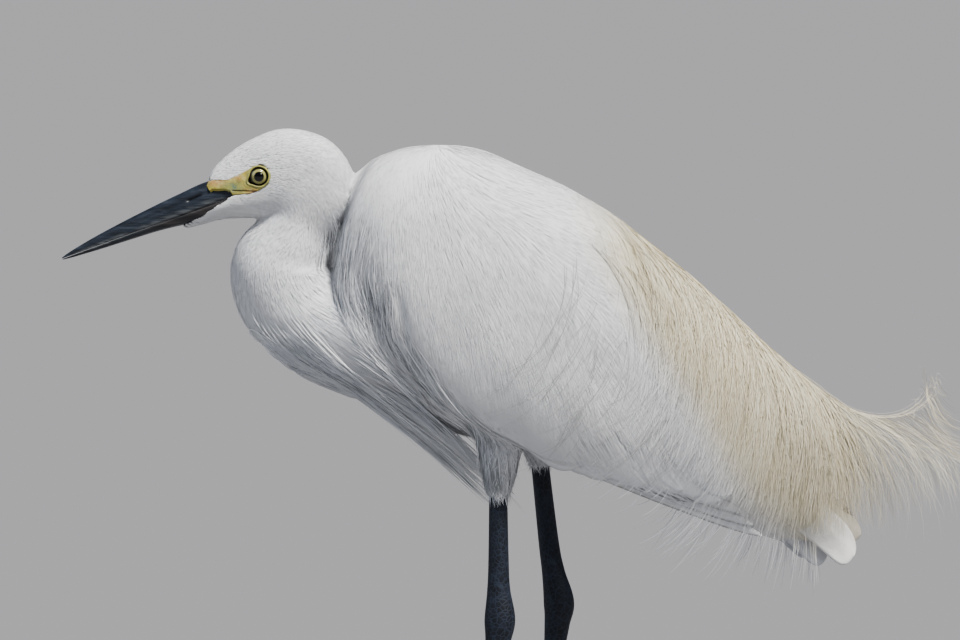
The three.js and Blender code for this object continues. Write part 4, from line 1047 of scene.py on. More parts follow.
# each vane on the side's surface: its root, plus t times its reach, plus q times its half width square to it
def makeWing(name, side):
    draw = np.random.default_rng(31 + side)
    vanes = []
    t = 1 - (1 - np.linspace(0, 1, 26)[:, None]) ** 1.7
    q = np.linspace(-1, 1, 9)[None]
    for row, tier in enumerate(wingTiers):
        for i in range(tier["count"]):
            s = i / (tier["count"] - 1)
            pairs = np.array([tier["roots"], tier["tips"]], float)
            root, tip = (first * (1 - s) + last * s for first, last in pairs)
            root, tip = root + draw.uniform(-0.8, 0.8, 2), tip + draw.uniform(-1.4, 1.4, 2)
            half = tier["halves"][0] * (1 - s) + tier["halves"][1] * s
            reach = tip - root
            long = np.hypot(*reach)
            ahead = reach / long
            bow = (tier["bow"] + draw.uniform(-0.7, 0.7)) * 4 * t * (1 - t)
            across = q * half * vaneShape(t, tier["tip"]) + bow
            alongs = t * long
            a = root[0] + ahead[0] * alongs - ahead[1] * across
            h = root[1] + ahead[1] * alongs + ahead[0] * across
            lift = tier["lifts"][0] + (tier["lifts"][1] - tier["lifts"][0]) * t**0.7
            lift = lift - q * tier["tilt"] * (1 - 0.3 * t) + 0.25 * (1 - np.abs(q)) ** 2
            lift = lift - 0.5 * np.abs(q) ** 3 + 0.12 * wander(np.stack([a, h, a * 0 + row], -1), i, 14)
            point, _ = sideSurface(plumageStations, side, a, h, lift)
            # painted shade: darker towards each vane's edges where feathers overlap, and by shadeAt, the shade
            # lines and the band over the wing's lower edge
            toneAndShade = 0.85 - 0.25 * np.abs(q) ** 4 + draw.normal(0, 0.05) - 0.8 * shadeAt(point)
            # painted shadow: a dark line along the lower edge of the lowest row's feathers, carried with the
            # shafts' grey by the mark shaftAndShadowLine
            edge = 0.95 * smoothStep(0.45, 0.9, -q) if row == 0 else 0
            shaftAndShadowLine = 0.14 * bell(q, 0, 0.06) + edge + 0 * t
            place = np.array([(root[0] + 40) / 300 * 0.9, (root[1] + 60) / 110 * 0.9])
            uv = place + np.stack([t + 0 * q, 0 * t + (q + 1) / 2], -1) * 0.02
            ridges = barbRidges(t, q, long, half)
            vanes.append((point, uv, np.clip(toneAndShade, 0, 1), shaftAndShadowLine, ridges, creamAt(point)))
    return vaneMesh(name, vanes, [side < 0] * len(vanes), 0.00025)


wingPieces = {"left": makeWing("wingFeathersLeft", -1), "right": makeWing("wingFeathersRight", 1)}
for handed, piece in wingPieces.items():
    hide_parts("wing_" + handed)
print("wings made")

# tail feathers of one side from the middle outwards: the tip's a and h, half width, lean from level,
# distance from the middle, tint, which is low as painted shade on the feathers that lie behind the bright one,
# and the share of the cream
tailFan = [
    (279, -5, 8, 58, 2.0, 0.1, 0.5), (284.5, -8, 7.2, 66, 4.0, 0.0, 0.9),
    (286.8, -18.4, 10.2, 76, 8.5, 0.95, 0.3), (274.5, -27, 8, 78, 6.0, 0.2, 0.1),
    (266, -27, 7.5, 80, 4.8, 0.1, 0.1),
]
covertLook = {"count": 6000, "length": (12, 20), "halfWidth": (0.3, 0.45)}


# the same with t along the tail and q across it, turned by cosine and sine of its lean
def makeTail():
    draw = np.random.default_rng(35)
    vanes, turned = [], []
    t, q = 1 - (1 - np.linspace(0, 1, 44)[:, None]) ** 2.3, np.linspace(-1, 1, 13)[None]
    for i, (tipA, tipH, wide, lean, aside, shade, warmth) in enumerate(tailFan):
        for side in (-1, 1):
            leanNow = np.radians(lean) * (0.8 + 0.2 * t)
            rootA, rootH = 206 - 1.5 * i, -1.5 - 1.8 * i
            reach, fall = tipA - rootA + draw.uniform(-0.3, 0.3), tipH - rootH
            alongs = rootA + reach * t
            half = wide * np.where(q > 0, vaneShape(t, 0.66, 2.0), vaneShape(t, 0.34, 2.5))
            bow = 1.6 * np.sin(np.pi * t) * (1 if i < 3 else -1)
            y = side * (1.0 + (aside - 1.0) * np.minimum(1.25 * t, 1) + 0.15 * i)
            y = y - side * q * half * np.cos(leanNow)
            h = rootH + fall * t**1.15 + bow + q * half * np.sin(leanNow)
            y = y + side * (0.5 * (1 - np.abs(q)) - 0.6 * q**2)
            point = bodyPoint(alongs + 0 * q, y, h)
            # painted shade: each feather's shade column, less a darker margin where feathers overlap
            toneAndShade = np.clip(shade - 0.15 * np.abs(q) ** 4 + 0 * t, 0, 1)
            shaftAndShadowLine, cream = 0.1 * bell(q, 0, 0.06) + 0 * t, warmth * creamAt(point)
            place = np.array([0.1 + 0.16 * i, 0.25 + 0.5 * (side > 0)])
            uv = place + np.stack([t + 0 * q, 0 * t + q], -1) * 0.02
            vanes.append((point, uv, toneAndShade, shaftAndShadowLine, barbRidges(t, q, 80, 7), cream))
            turned.append(side < 0)
    piece = vaneMesh("tailFeathers", vanes, turned, 0.0003)
    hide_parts("tail")
    # short soft feathers over the tail's root
    n = covertLook["count"]
    u, v = scatter(tailSurface, n, lambda found: 1.0 * (found[..., 0] > 0), draw)
    length = draw.uniform(*covertLook["length"], n) * (1 - 0.4 * u)
    turn = draw.normal(0, 0.08, n)
    lifts = np.full(n, -2.0), draw.uniform(-0.4, 0.5, n)
    strands, normals = walkSurface(tailSurface, u, v, length, (turn, turn), lifts, 4, rise=0.6)
    toneAndShade = np.clip(0.78 + 0.1 * draw.normal(size=n), 0, 1)
    half, roll = draw.uniform(*covertLook["halfWidth"], n), draw.normal(0, 0.2, n)
    uv = np.stack([u, v], -1) * 0.99
    ribbonMesh("tailCoverts", strands, normals, half, tapers["covert"], roll, uv, toneAndShade, coatMaterial)


makeTail()

# the long back plumes: thin shafts along the back, with loose barbs that drape over wings and tail
plumeMaterial = plumageMaterial("silkyPlume")
trainStations = plumageStations[:11] + [
    [230, 48.5, -50, 27, 2], [255, 46.5, -46, 20, 4], [285, 46, -40, 15, 6], [330, 44, -30, 12, 8],
]
trainSurface = eggSurface(trainStations, bodyPoint)
plumeLook = {
    "shafts": 72, "curled": 10, "start": (48, 118), "spread": (58, 34), "curlFrom": 240,
    "barbs": 30000, "barbHalf": (0.11, 0.2), "shaftHalf": 0.17,
    "endShares": (0.5, 0.28, 0.22), "ends": ((205, 245), (245, 280), (280, 302)), "curledEnd": (296, 309),
    "lift": (0.001, 0.014), "curledLift": (0.017, 0.022), "hook": (2.6e-6, 4.8e-6),
}
# a barb's first slant from its shaft, and its length, against a
barbStart = {"a": [60, 120, 170, 200, 235, 300], "degrees": [26, 22, 18, 16, 13, 12]}
barbLength = {"a": [60, 120, 190, 230, 262, 285, 303], "long": [84, 104, 112, 98, 80, 50, 18]}
# the slant a barb ends with, against a; the ground is straight down at 62
barbFall = {
    "a": [60, 90, 120, 150, 172, 190, 210, 240, 270, 330],
    "degrees": [80, 90, 98, 98, 90, 72, 60, 60, 60, 56],
}
# how far down the train's barbs reach: a against h
trainEdge = {
    "a": [100, 173, 206, 226, 241, 255, 268, 282, 295, 308, 330],
    "h": [-44, -42, -40, -31, -33, -26, -17, -9, 0, 25, 45],
}
# some of them reach further, over the tail and behind it
looseEdge = {"a": trainEdge["a"], "h": [-44, -42, -41, -33, -36, -35, -30, -24, -12, 9, 40]}


def trainPlace(a):  # a as a share of the train's length
    return (a - trainStations[0][0]) / (trainStations[-1][0] - trainStations[0][0])


# a shaft's place at s: along the back up to curlFrom, then on by the mean cosine and sine of its turns,
# which grow as bend times x plus hook times x cubed
def shaftPoint(lane, level, bend, hook, s):
    spread = np.interp(s, (60, 250), plumeLook["spread"])
    v = np.mod(lane * spread / 360, 1)
    a = np.minimum(s, plumeLook["curlFrom"])
    found = lookUp(trainSurface, trainPlace(a), v)
    beyond = np.maximum(0, s - plumeLook["curlFrom"])
    x = beyond[..., None] * np.linspace(0, 1, 17)
    turns = bend[..., None] * x + hook[..., None] * x**3 - 0.1
    middle = (turns[..., 1:] + turns[..., :-1]) / 2
    ahead, up = np.cos(middle).mean(-1) * beyond, np.sin(middle).mean(-1) * beyond
    point = found[..., :3] + found[..., 3:6] * level[..., None]
    point = point + alongBody * ahead[..., None] + outOfBack * up[..., None]
    return point, found[..., 3:6], v, np.where(beyond > 0, turns[..., -1] + 0.1, 0)


def clipAtEdge(points, edge, draw):  # the share of each strand above the edge line
    a, h = bodyPlace(points)
    low = h < lineAt(edge, a)
    first = np.where(low.any(1), low.argmax(1), points.shape[1] - 1) / (points.shape[1] - 1)
    return np.where(low.any(1), np.maximum(first, 0.12) * draw.uniform(0.8, 1.0, len(points)), 1.0)


def drawLanes(draw, n):  # each shaft's lane across the back from -1 to 1, its two ends, its lift and its hook
    look = plumeLook
    lane = np.linspace(-1, 1, n) + draw.normal(0, 0.02, n)
    start = draw.uniform(*look["start"], n)
    pick = draw.choice(3, n, p=look["endShares"])
    end = np.choose(pick, [draw.uniform(*ends, n) for ends in look["ends"]])
    lift = draw.uniform(*look["lift"], n) * (1 - 0.5 * np.abs(lane))
    hook = np.zeros(n)
    hooked = draw.permutation(n)[: look["curled"]]
    lane[hooked] *= 0.3
    end[hooked] = draw.uniform(*look["curledEnd"], len(hooked))
    lift[hooked] = draw.uniform(*look["curledLift"], len(hooked))
    hook[hooked] = draw.uniform(*look["hook"], len(hooked))
    return lane, start, end, lift, hook


# shafts at their lanes; barbs leave them at a slant, sink on to wings and tail, and turn towards the ground
def makeBackPlumes():
    draw = np.random.default_rng(41)
    n = plumeLook["shafts"]
    lane, start, end, lift, hook = drawLanes(draw, n)
    level = draw.uniform(-1.5, 1.0, n)
    t = np.linspace(0, 1, 44)[None]
    a = start[:, None] + (end - start)[:, None] * t
    wide = lambda x: x[:, None] + 0 * t
    levels = wide(level) - 2 * (1 - smoothStep(0, 0.15, t))
    points, normals, _, _ = shaftPoint(wide(lane), levels, wide(lift), wide(hook), a)
    uvs = np.stack([np.linspace(0.02, 0.98, n), np.full(n, 0.995)], -1) * 0.996
    half, roll = np.full(n, plumeLook["shaftHalf"]), draw.normal(0, 0.5, n)
    ribbonMesh("plumeShafts", points, normals, half, np.linspace(1, 0.4, 44), roll, uvs, np.full(n, 0.55),
               plumeMaterial, soft=0.5, spread=0.2)
    count = plumeLook["barbs"]
    pick = draw.choice(n, count, p=(end - start) / (end - start).sum())
    rootA = start[pick] + (end - start)[pick] * draw.uniform(0.03, 1, count)
    thin = 0.02 + 0.25 * smoothStep(74, 105, rootA) + 0.75 * smoothStep(102, 142, rootA)
    thin = thin * (1 - 0.966 * smoothStep(174, 207, rootA))
    thin = thin + 0.16 * (hook[pick] > 0) * smoothStep(240, 262, rootA)
    keep = draw.uniform(size=count) < thin
    pick, rootA = pick[keep], rootA[keep]
    count = len(pick)
    base, _, v, climb = shaftPoint(lane[pick], level[pick], lift[pick], hook[pick], rootA)
    hand = np.where(draw.uniform(size=count) < 0.5 + 0.5 * np.clip(lane[pick] * 3, -1, 1), 1, -1)
    curled = smoothStep(0.5, 1.2, climb)
    upward = (draw.uniform(size=count) < 0.25 * curled) & (hook[pick] > 0)
    clump = wander(base, 3, 16) + 0.6 * wander(base, 4, 7)
    apart = smoothStep(188, 208, rootA)
    first = lineAt(barbStart, rootA) + draw.uniform(-6, 6, count)
    first = np.radians(first + (5 - 3 * apart) * clump)
    last = lineAt(barbFall, rootA) + (9 - 6 * apart) * clump
    last = np.radians(last + draw.normal(0, 1, count) * (8 + 3 * apart))
    first, last = first - 0.8 * climb, last - 0.35 * climb
    first = np.where(upward, -climb - np.radians(14), first)
    last = np.where(upward, -climb - np.radians(draw.uniform(40, 100, count)), last)
    length = lineAt(barbLength, rootA) * draw.uniform(0.6, 1.1, count)
    length = np.where(upward, draw.uniform(4, 9, count), length)
    tipLevel = np.clip(draw.normal(1.1, 0.8, count), 0.1, 3.4)
    slants, levels = (first * hand, last * hand), (level[pick], tipLevel)
    for again in range(2):
        points, normals = walkSurface(trainSurface, trainPlace(rootA), v, length, slants, levels, 9, 1.25)
        points = points + (base - points[:, 0])[:, None]
        if not again:
            kept = clipAtEdge(points, trainEdge, draw), clipAtEdge(points, looseEdge, draw)
            loose = draw.uniform(size=count) < 0.4 * smoothStep(190, 240, rootA)
            length = length * np.where(loose, kept[1], kept[0])
    toneAndShade = np.clip(0.55 + 0.28 * clump + 0.25 * draw.normal(size=count), 0, 1)
    rootUv = np.stack([np.clip(trainPlace(rootA), 0, 1), v], -1) * 0.99
    half = draw.uniform(*plumeLook["barbHalf"], count) * (1 - 0.58 * apart)
    roll = draw.normal(0, 0.6, count)
    barbs = ribbonMesh("plumeBarbs", points, normals, half, tapers["barb"], roll, rootUv, toneAndShade,
                       plumeMaterial, soft=0.65, spread=0.2)
    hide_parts("mantle")


makeBackPlumes()

# the arcing barbs are coloured grey: painted shade, standing in for the thin shadows that white barbs cast on
# the white wing
shadowGreyMaterial, _, shadowGreyShader = newMaterial("shadowGreyBarbs", 0.7, 0.2)
shadowGreyShader.inputs["Base Color"].default_value = (0.42, 0.42, 0.41, 1)
strayLook = {
    "arcs": 150, "arcLength": (50, 118), "arcHalf": (0.08, 0.13),
    "hairs": 220, "hairLength": (18, 42), "hairHalf": (0.09, 0.15),
}


# single long barbs that arc over the white wing: they turn past the ground's direction, end 6 mm below the
# wing's edge
def makeArcingBarbs(draw):
    n = strayLook["arcs"]
    hand = np.where(draw.uniform(size=n) < 0.56, -1, 1)
    a = draw.uniform(70, 168, n)
    v = np.mod(hand * np.interp(a, (60, 165), (50, 36)) * draw.uniform(0.75, 1.5, n) / 360, 1)
    first, last = np.radians(draw.uniform(40, 62, n)), np.radians(128 + draw.normal(0, 13, n))
    length = draw.uniform(*strayLook["arcLength"], n)
    for again in range(2):
        slants, levels = (first * hand, last * hand), (np.full(n, -0.4), draw.uniform(0.5, 1.4, n))
        points, normals = walkSurface(trainSurface, trainPlace(a), v, length, slants, levels, 12, 1.15)
        if not again:
            edge = {"a": wingEdge["a"], "h": [h - 6 for h in wingEdge["h"]]}
            length = length * clipAtEdge(points, edge, draw)
    toneAndShade = draw.uniform(0.4, 0.8, n)
    uv = np.stack([trainPlace(a), v], -1) * 0.99
    half, roll = draw.uniform(*strayLook["arcHalf"], n), draw.normal(0, 0.3, n)
    ribbonMesh("arcingBarbs", points, normals, half, tapers["arc"], roll, uv, toneAndShade,
               shadowGreyMaterial, soft=0.7, spread=0.15)


# the hair that hangs below the wing's edge: each step adds cosine, a little outwards, and less sine of an
# angle that turns from first to last
def makeEdgeBarbs(draw):
    n, steps = strayLook["hairs"], 8
    hand = np.where(draw.uniform(size=n) < 0.6, -1, 1)
    a = np.where(draw.uniform(size=n) < 0.88, draw.uniform(192, 268, n), draw.uniform(140, 192, n))
    h = lineAt(wingEdge, a) + draw.uniform(3, 12, n)
    root, normal = sideSurface(trainStations, hand, a, h, -1.0)
    clump = wander(root, 45, 9)
    first = np.radians(np.interp(a, (112, 200, 262), (122, 112, 88)) + 5 * clump + draw.normal(0, 4, n))
    last = np.interp(a, (112, 190, 230, 262), (168, 154, 122, 92)) + 9 * clump
    last = np.radians(last + draw.normal(0, 8, n))
    length = draw.uniform(*strayLook["hairLength"], n)
    length = length * np.interp(a, (140, 185, 200, 230, 268), (0.4, 0.6, 1, 0.85, 0.6))
    points = [root]
    for k in range(1, steps + 1):
        angle = first + (last - first) * (k / steps) ** 1.2
        ahead = np.stack([np.cos(angle), -0.12 * hand, -np.sin(angle)], -1)
        points.append(points[-1] + unit(ahead) * (length / steps)[:, None])
    points, normals = np.stack(points, 1), normal[:, None] + np.zeros((1, steps + 1, 1))
    v = np.mod(hand * np.interp(h, (-60, 60), (0.46, 0.1)), 1)
    uv = np.stack([trainPlace(a), v], -1) * 0.99
    half, roll = draw.uniform(*strayLook["hairHalf"], n), draw.normal(0, 0.5, n)
    ribbonMesh("edgeBarbs", points, normals, half, tapers["barb"], roll, uv, draw.uniform(0.4, 0.7, n),
               plumeMaterial, soft=0.5, spread=0.2)


strayDraw = np.random.default_rng(44)
makeArcingBarbs(strayDraw)
makeEdgeBarbs(strayDraw)

# loose plumes of the breast, gathered in locks that hang under the belly
breastLook = {
    "locks": 150, "perLock": 20, "length": (44, 130), "halfWidth": (0.1, 0.34), "slope": (-3.5, 3.5),
    "streaks": 5200, "streakLength": (16, 40), "flow": 3600, "flowLength": (18, 42),
}
# the outline that they keep to, x against z, and the slope at which they flow along it
breastEdge = {
    "x": [-128, -110, -95, -79, -68, -60, -46, -29, -11, 30],
    "z": [251, 235.5, 227.5, 220, 211, 203, 194, 178.5, 162.5, 126],
}
breastFlow = {"x": [-128, -112, -92, -72, -50, 0], "degrees": [45, 34, 27, 33, 38, 41]}


# strands that leave the neck along its surface and turn by t into the slope of the flow, held above the
# outline and out of the body, while their lock draws them together
def makeBreastLocks(draw):
    locks, each = breastLook["locks"], breastLook["perLock"]
    n, rows = locks * each, len(tapers["lock"])
    pick = np.repeat(np.arange(locks), each)
    u0, v0 = draw.uniform(0.5, 0.86, locks), draw.normal(0, 0.105, locks)
    long0 = draw.uniform(*breastLook["length"], locks) * (1 - 0.45 * np.minimum(np.abs(v0) / 0.25, 1))
    long0 = long0 * np.interp(u0, (0.5, 0.6, 0.86), (0.7, 1, 0.7))
    slope0 = np.radians(draw.uniform(*breastLook["slope"], locks))
    aside0 = draw.normal(0, 0.05, locks) - 0.12 * np.sin(v0 * 2 * np.pi)
    spreadU, spreadV = draw.normal(0, 0.022, n), draw.normal(0, 0.022, n)
    u, v = u0[pick] + spreadU, np.mod(v0[pick] + spreadV, 1)
    length = long0[pick] * draw.uniform(0.62, 1.1, n)
    stray = slope0[pick] + np.radians(draw.normal(0, 1.6, n))
    drop = draw.uniform(0.1, 0.45, locks)[pick]
    aside = aside0[pick] + draw.normal(0, 0.015, n)
    found, middle = lookUp(neckSurface, u, v), lookUp(neckSurface, u0[pick], np.mod(v0[pick], 1))
    tangent = unit(lookUp(neckSurface, u + 0.01, v)[:, :3] - found[:, :3])
    gather = middle[:, :3] - found[:, :3]
    hang = draw.normal(-0.8, 1.2, n)
    points = np.zeros((n, rows, 3))
    points[:, 0] = settle(found[:, :3], -1.8)
    step = (length / (rows - 1))[:, None]
    for k in range(1, rows):
        t = k / (rows - 1)
        before = points[:, k - 1]
        flow = lineAt(breastFlow, before[:, 0])
        above = before[:, 2] - lineAt(breastEdge, before[:, 0])
        slope = stray + np.radians(flow + np.clip(drop * above, 0, 13))
        goal = unit(np.stack([np.cos(slope), aside, -np.sin(slope)], -1))
        closer = gather - (gather * goal).sum(-1, keepdims=True) * goal
        heading = unit(tangent * (1 - t) ** 2 + goal * (0.15 + 1.4 * t) + found[:, 3:6] * (0.2 * (k < 3)))
        place = before + heading * step + closer * (0.7 / (rows - 1))
        place[:, 2] = np.maximum(place[:, 2], lineAt(breastEdge, place[:, 0]) + hang)
        distance = fieldAt(place)[0]
        low, high = np.array(fieldBox["low"]) + 3, np.array(fieldBox["high"]) - 3
        inside = np.all((place > low) & (place < high), -1)
        lifted = settle(place, np.minimum(0.3 + 2.2 * t, 2.0), 1)
        points[:, k] = np.where((inside & (distance < 0.3 + 2.0 * t))[:, None], lifted, place)
    angle = np.sin(v * 2 * np.pi)
    outwards = np.where(np.abs(angle) < 0.1, -0.8, np.sign(angle) * 0.85)
    facing = unit(np.stack([0.1 + 0 * angle, outwards, 0.5 + 0 * angle], -1))
    turned = smoothStep(0.0, 0.5, np.linspace(0, 1, rows))[None, :, None]
    normals = unit(found[:, None, 3:6] * (1 - 0.75 * turned) + facing[:, None] * turned)
    toneAndShade = np.clip((0.5 + 0.26 * draw.normal(size=locks))[pick] + 0.2 * draw.normal(size=n), 0, 1)
    half = np.interp(draw.uniform(size=n) ** 2, (0, 1), breastLook["halfWidth"])
    roll = draw.normal(0, 0.4, n)
    uv = np.stack([u, v], -1) * 0.99
    pieces = ribbonMesh("breastPlumes", points, normals, half, tapers["lock"], roll, uv, toneAndShade, coatMaterial,
                        soft=0.6, spread=0.2)
    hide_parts("breast")


# silky streaks down the hollow before the folded wing: strands along the lie from skin near the hollow's line
def makeHollowPlumes(draw):
    roots = rootsOnSkin(draw, 90000)
    line = np.array(grooveLines[0]["line"])
    along = np.interp(roots[:, 2], line[::-1, 1], line[::-1, 0])
    near = (np.abs(roots[:, 0] - along - 3) < 15) & (np.abs(roots[:, 1]) > 12)
    roots = roots[near & (roots[:, 2] > 206) & (roots[:, 2] < 312)][: breastLook["streaks"]]
    n = len(roots)
    length = draw.uniform(*breastLook["streakLength"], n)
    stray = 0.22 * wander(roots, 25, 16) + draw.normal(0, 0.06, n)
    levels = (np.full(n, -1.0), 0.3 + 2.2 * draw.uniform(size=n) ** 3)
    points, normals = growOnField(roots, length, stray, levels, 8)
    # painted shade: the streaks' toneAndShade is drawn low for the shade in the hollow, with their own streaky
    # tone round it
    toneAndShade = np.clip(0.38 + 0.35 * wander(roots, 26, 7) + 0.2 * draw.normal(size=n), 0, 1)
    u = np.clip(0.46 + 0.4 * (312 - roots[:, 2]) / 110, 0, 0.98)
    v = np.arctan2(roots[:, 1], shoulder[2] - roots[:, 2]) / (2 * np.pi) + 0.5
    half, roll = draw.uniform(0.12, 0.26, n), draw.normal(0, 0.5, n)
    uv = np.stack([u, v * 0.99], -1)
    ribbonMesh("hollowPlumes", points, normals, half, tapers["plume"], roll, uv, toneAndShade, coatMaterial,
               soft=0.5, spread=0.2)


# longer silky feathers that flow along the lie from the neck's base over the front of the wing
def makeShoulderPlumes(draw):
    n = breastLook["flow"]
    u = draw.uniform(0.44, 0.8, n)
    v = np.mod(np.where(draw.uniform(size=n) < 0.5, 1, -1) * draw.uniform(0.1, 0.36, n), 1)
    roots = lookUp(neckSurface, u, v)[:, :3]
    length = draw.uniform(*breastLook["flowLength"], n)
    stray = 0.16 * wander(roots, 15, 20) + draw.normal(0, 0.05, n)
    points, normals = growOnField(roots, length, stray, (np.full(n, -1.5), draw.uniform(0.3, 1.3, n)), 8)
    toneAndShade = np.clip(0.45 + 0.3 * wander(roots, 16, 8), 0, 1)
    half, roll = draw.uniform(0.14, 0.24, n), draw.normal(0, 0.25, n)
    uv = np.stack([u, v], -1) * 0.99
    ribbonMesh("shoulderPlumes", points, normals, half, tapers["plume"], roll, uv, toneAndShade, coatMaterial,
               soft=0.85, spread=0.15)


breastDraw = np.random.default_rng(43)
makeBreastLocks(breastDraw)
makeHollowPlumes(breastDraw)
makeShoulderPlumes(breastDraw)
print("coats made")

# the bill: stations from the tip with distance, height of the culmen, depth of the lower jaw, half width
billSlope = np.radians(20)
billTip = np.array([-227.8, 0, 284.8])
alongBill = np.array([np.cos(billSlope), 0, np.sin(billSlope)])
aboveBill = np.array([-np.sin(billSlope), 0, np.cos(billSlope)])
billStations = [
    [0.3, 0.5, 0.4, 0.5], [4, 1.6, 0.9, 1.2], [11, 3.1, 1.4, 2.1], [21, 4.9, 2.0, 3.0], [37, 7.2, 2.7, 4.2],
    [53, 9.1, 3.5, 5.5], [69, 10.7, 5.4, 7.0], [84.5, 11.8, 8.0, 8.7], [99, 9.5, 7.0, 10.4],
]


# blue-black horn with streaks along the bill, worn along the cutting edge and umber on the lower jaw
def billMaterial():
    material, tree, shader = newMaterial("blueBlackHorn", 0.4, 0.4, 0.06)
    shader.inputs["Coat Roughness"].default_value = 0.25
    turn = {"scale": (1.2, 9, 14), "turn": (0, billSlope, 0)}
    streaks = noiseAt(tree, 26.0, 6.0, turn)
    darkStops = [(0.36, (0.004, 0.006, 0.010)), (0.6, (0.011, 0.016, 0.026)), (0.8, (0.035, 0.045, 0.058))]
    umberStops = [(0.38, (0.010, 0.009, 0.010)), (0.6, (0.05, 0.04, 0.036)), (0.78, (0.14, 0.12, 0.11))]
    fine = rampOf(tree, noiseAt(tree, 60.0, 5.0, turn), [(0.42, (0, 0, 0)), (0.62, (1, 1, 1))])
    worn = mixColours(tree, 1.0, attributeOf(tree, "tomium"), fine, "MULTIPLY")
    colour = mixColours(tree, worn, rampOf(tree, streaks, darkStops), (0.075, 0.083, 0.09))
    colour = mixColours(tree, attributeOf(tree, "pale"), colour, rampOf(tree, streaks, umberStops))
    tree.links.new(colour, shader.inputs["Base Color"])
    bumpFrom(tree, shader, noiseAt(tree, 90.0, 6.0, turn), 0.00045, 0.8)
    return material


# each jaw: a point s along the bill, plus sine of w times the height and cosine of w times the half width,
# closed by a flat floor along the line where the jaws meet
def makeBill():
    material = billMaterial()
    for name, sign, column, node in (("billUpper", 1, 1, "bill_upper"), ("billLower", -1, 2, "bill_lower")):
        s = np.concatenate([np.linspace(0.3, 6, 12), np.linspace(7, 97, 120)])[:, None]
        w = np.linspace(0, np.pi, 41)[None]
        height, half = smoothColumn(billStations, s, column), smoothColumn(billStations, s, 3)
        crest = np.abs(np.sin(w)) ** (0.86 if sign > 0 else 0.9)
        out = signedPower(np.cos(w), 0.92) * half
        rise = crest * height
        if sign > 0:  # a groove runs forward from the nostril, and the nostril is a slit in it
            level = rise / np.maximum(height, 0.1)
            groove = bell(level, 0.55, 0.12) * smoothStep(30, 60, s) * smoothStep(92, 84, s)
            slit = bell(level, 0.53, 0.055) * smoothStep(71, 73, s) * smoothStep(81, 79, s)
            out = out - np.sign(np.cos(w)) * (0.55 * groove + 1.5 * slit) * (np.abs(np.cos(w)) > 0.1)
        else:
            ridge = bell(crest, 0.35, 0.16) * smoothStep(20, 50, s)
            out = out - np.sign(np.cos(w)) * 0.35 * ridge * (np.abs(np.cos(w)) > 0.1)
        place = np.stack([s + 0 * w, w * 8 + 0 * s, 0 * s * w], -1)
        out = out * (1 + 0.012 * wander(place, 8, 9))
        top = billTip + s[..., None] * alongBill + (sign * (0.15 + rise))[..., None] * aboveBill
        top = top + out[..., None] * np.array([0, 1.0, 0])
        closing = top[:, :1] + (top[:, -1:] - top[:, :1]) * np.linspace(0, 1, 14)[1:-1][None, :, None]
        ring = np.concatenate([top[:, ::-1], closing], 1)
        full, faces = cappedTube(ring)
        level = np.concatenate([crest[:, ::-1] + 0 * s, np.zeros((len(s), 12))], 1)
        level = np.concatenate([level[:1], level, level[-1:]], 0)
        alongs = np.concatenate([s[:1], s, s[-1:]], 0) + 0 * level
        tomium = smoothStep(0.34, 0.1, level) * smoothStep(2, 12, alongs) * smoothStep(96, 80, alongs)
        pale = 0.75 * smoothStep(38, 62, alongs) * smoothStep(0.9, 0.4, level) * (sign < 0)
        piece = makeMesh(name, full, faces, material, marks={"tomium": tomium, "pale": pale})
        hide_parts(node)


makeBill()

# eyes: a wet ball with the rings painted round the gaze
eyeLook = {
    "aside": 9.6, "radius": 6.0, "bulge": 0.35,
    "rings": [
        (0.0, (0.001, 0.001, 0.001)), (0.41, (0.001, 0.001, 0.001)), (0.43, (0.20, 0.19, 0.05)),
        (0.48, (0.36, 0.34, 0.12)), (0.60, (0.31, 0.29, 0.09)), (0.64, (0.12, 0.11, 0.03)),
        (0.67, (0.002, 0.002, 0.002)), (1.0, (0.002, 0.002, 0.002)),
    ],
}


def eyeMaterial():  # pupil, iris and rim by the distance from the gaze, with fine flecks, under a wet coat
    material, tree, shader = newMaterial("wetEye", 0.25, 0.0, 1.0)
    shader.inputs["Coat Roughness"].default_value = 0.02
    colour = rampOf(tree, attributeOf(tree, "fromGaze"), eyeLook["rings"])
    flecks = rampOf(tree, noiseAt(tree, 900.0, 4.0), [(0.3, (0.82, 0.82, 0.8)), (0.7, (1, 1, 1))])
    tree.links.new(mixColours(tree, 1.0, colour, flecks, "MULTIPLY"), shader.inputs["Base Color"])
    return material


# a ball of rings round the gaze: radius times sine and cosine of the polar angle, bulging a little in front
def makeEyes():
    material = eyeMaterial()
    r = eyeLook["radius"]
    for handed, side in (("Left", -1), ("Right", 1)):
        angles = np.linspace(0.001, np.pi - 0.001, 72), np.arange(96) / 96 * 2 * np.pi
        polar, turn = np.meshgrid(*angles, indexing="ij")
        x, z = r * np.sin(polar) * np.cos(turn), r * np.sin(polar) * np.sin(turn)
        y = eyeLook["aside"] + (r + eyeLook["bulge"] * bell(polar, 0, 0.42)) * np.cos(polar)
        full, faces = cappedTube(np.stack([eyeX + x, side * y, eyeZ + z], -1))
        away = np.where(side * full[..., 1] > eyeLook["aside"], fromEye(full) / r, 1)
        piece = makeMesh("eye" + handed, full, faces, material, marks={"fromGaze": away})
        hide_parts("eye_" + handed.lower())


makeEyes()


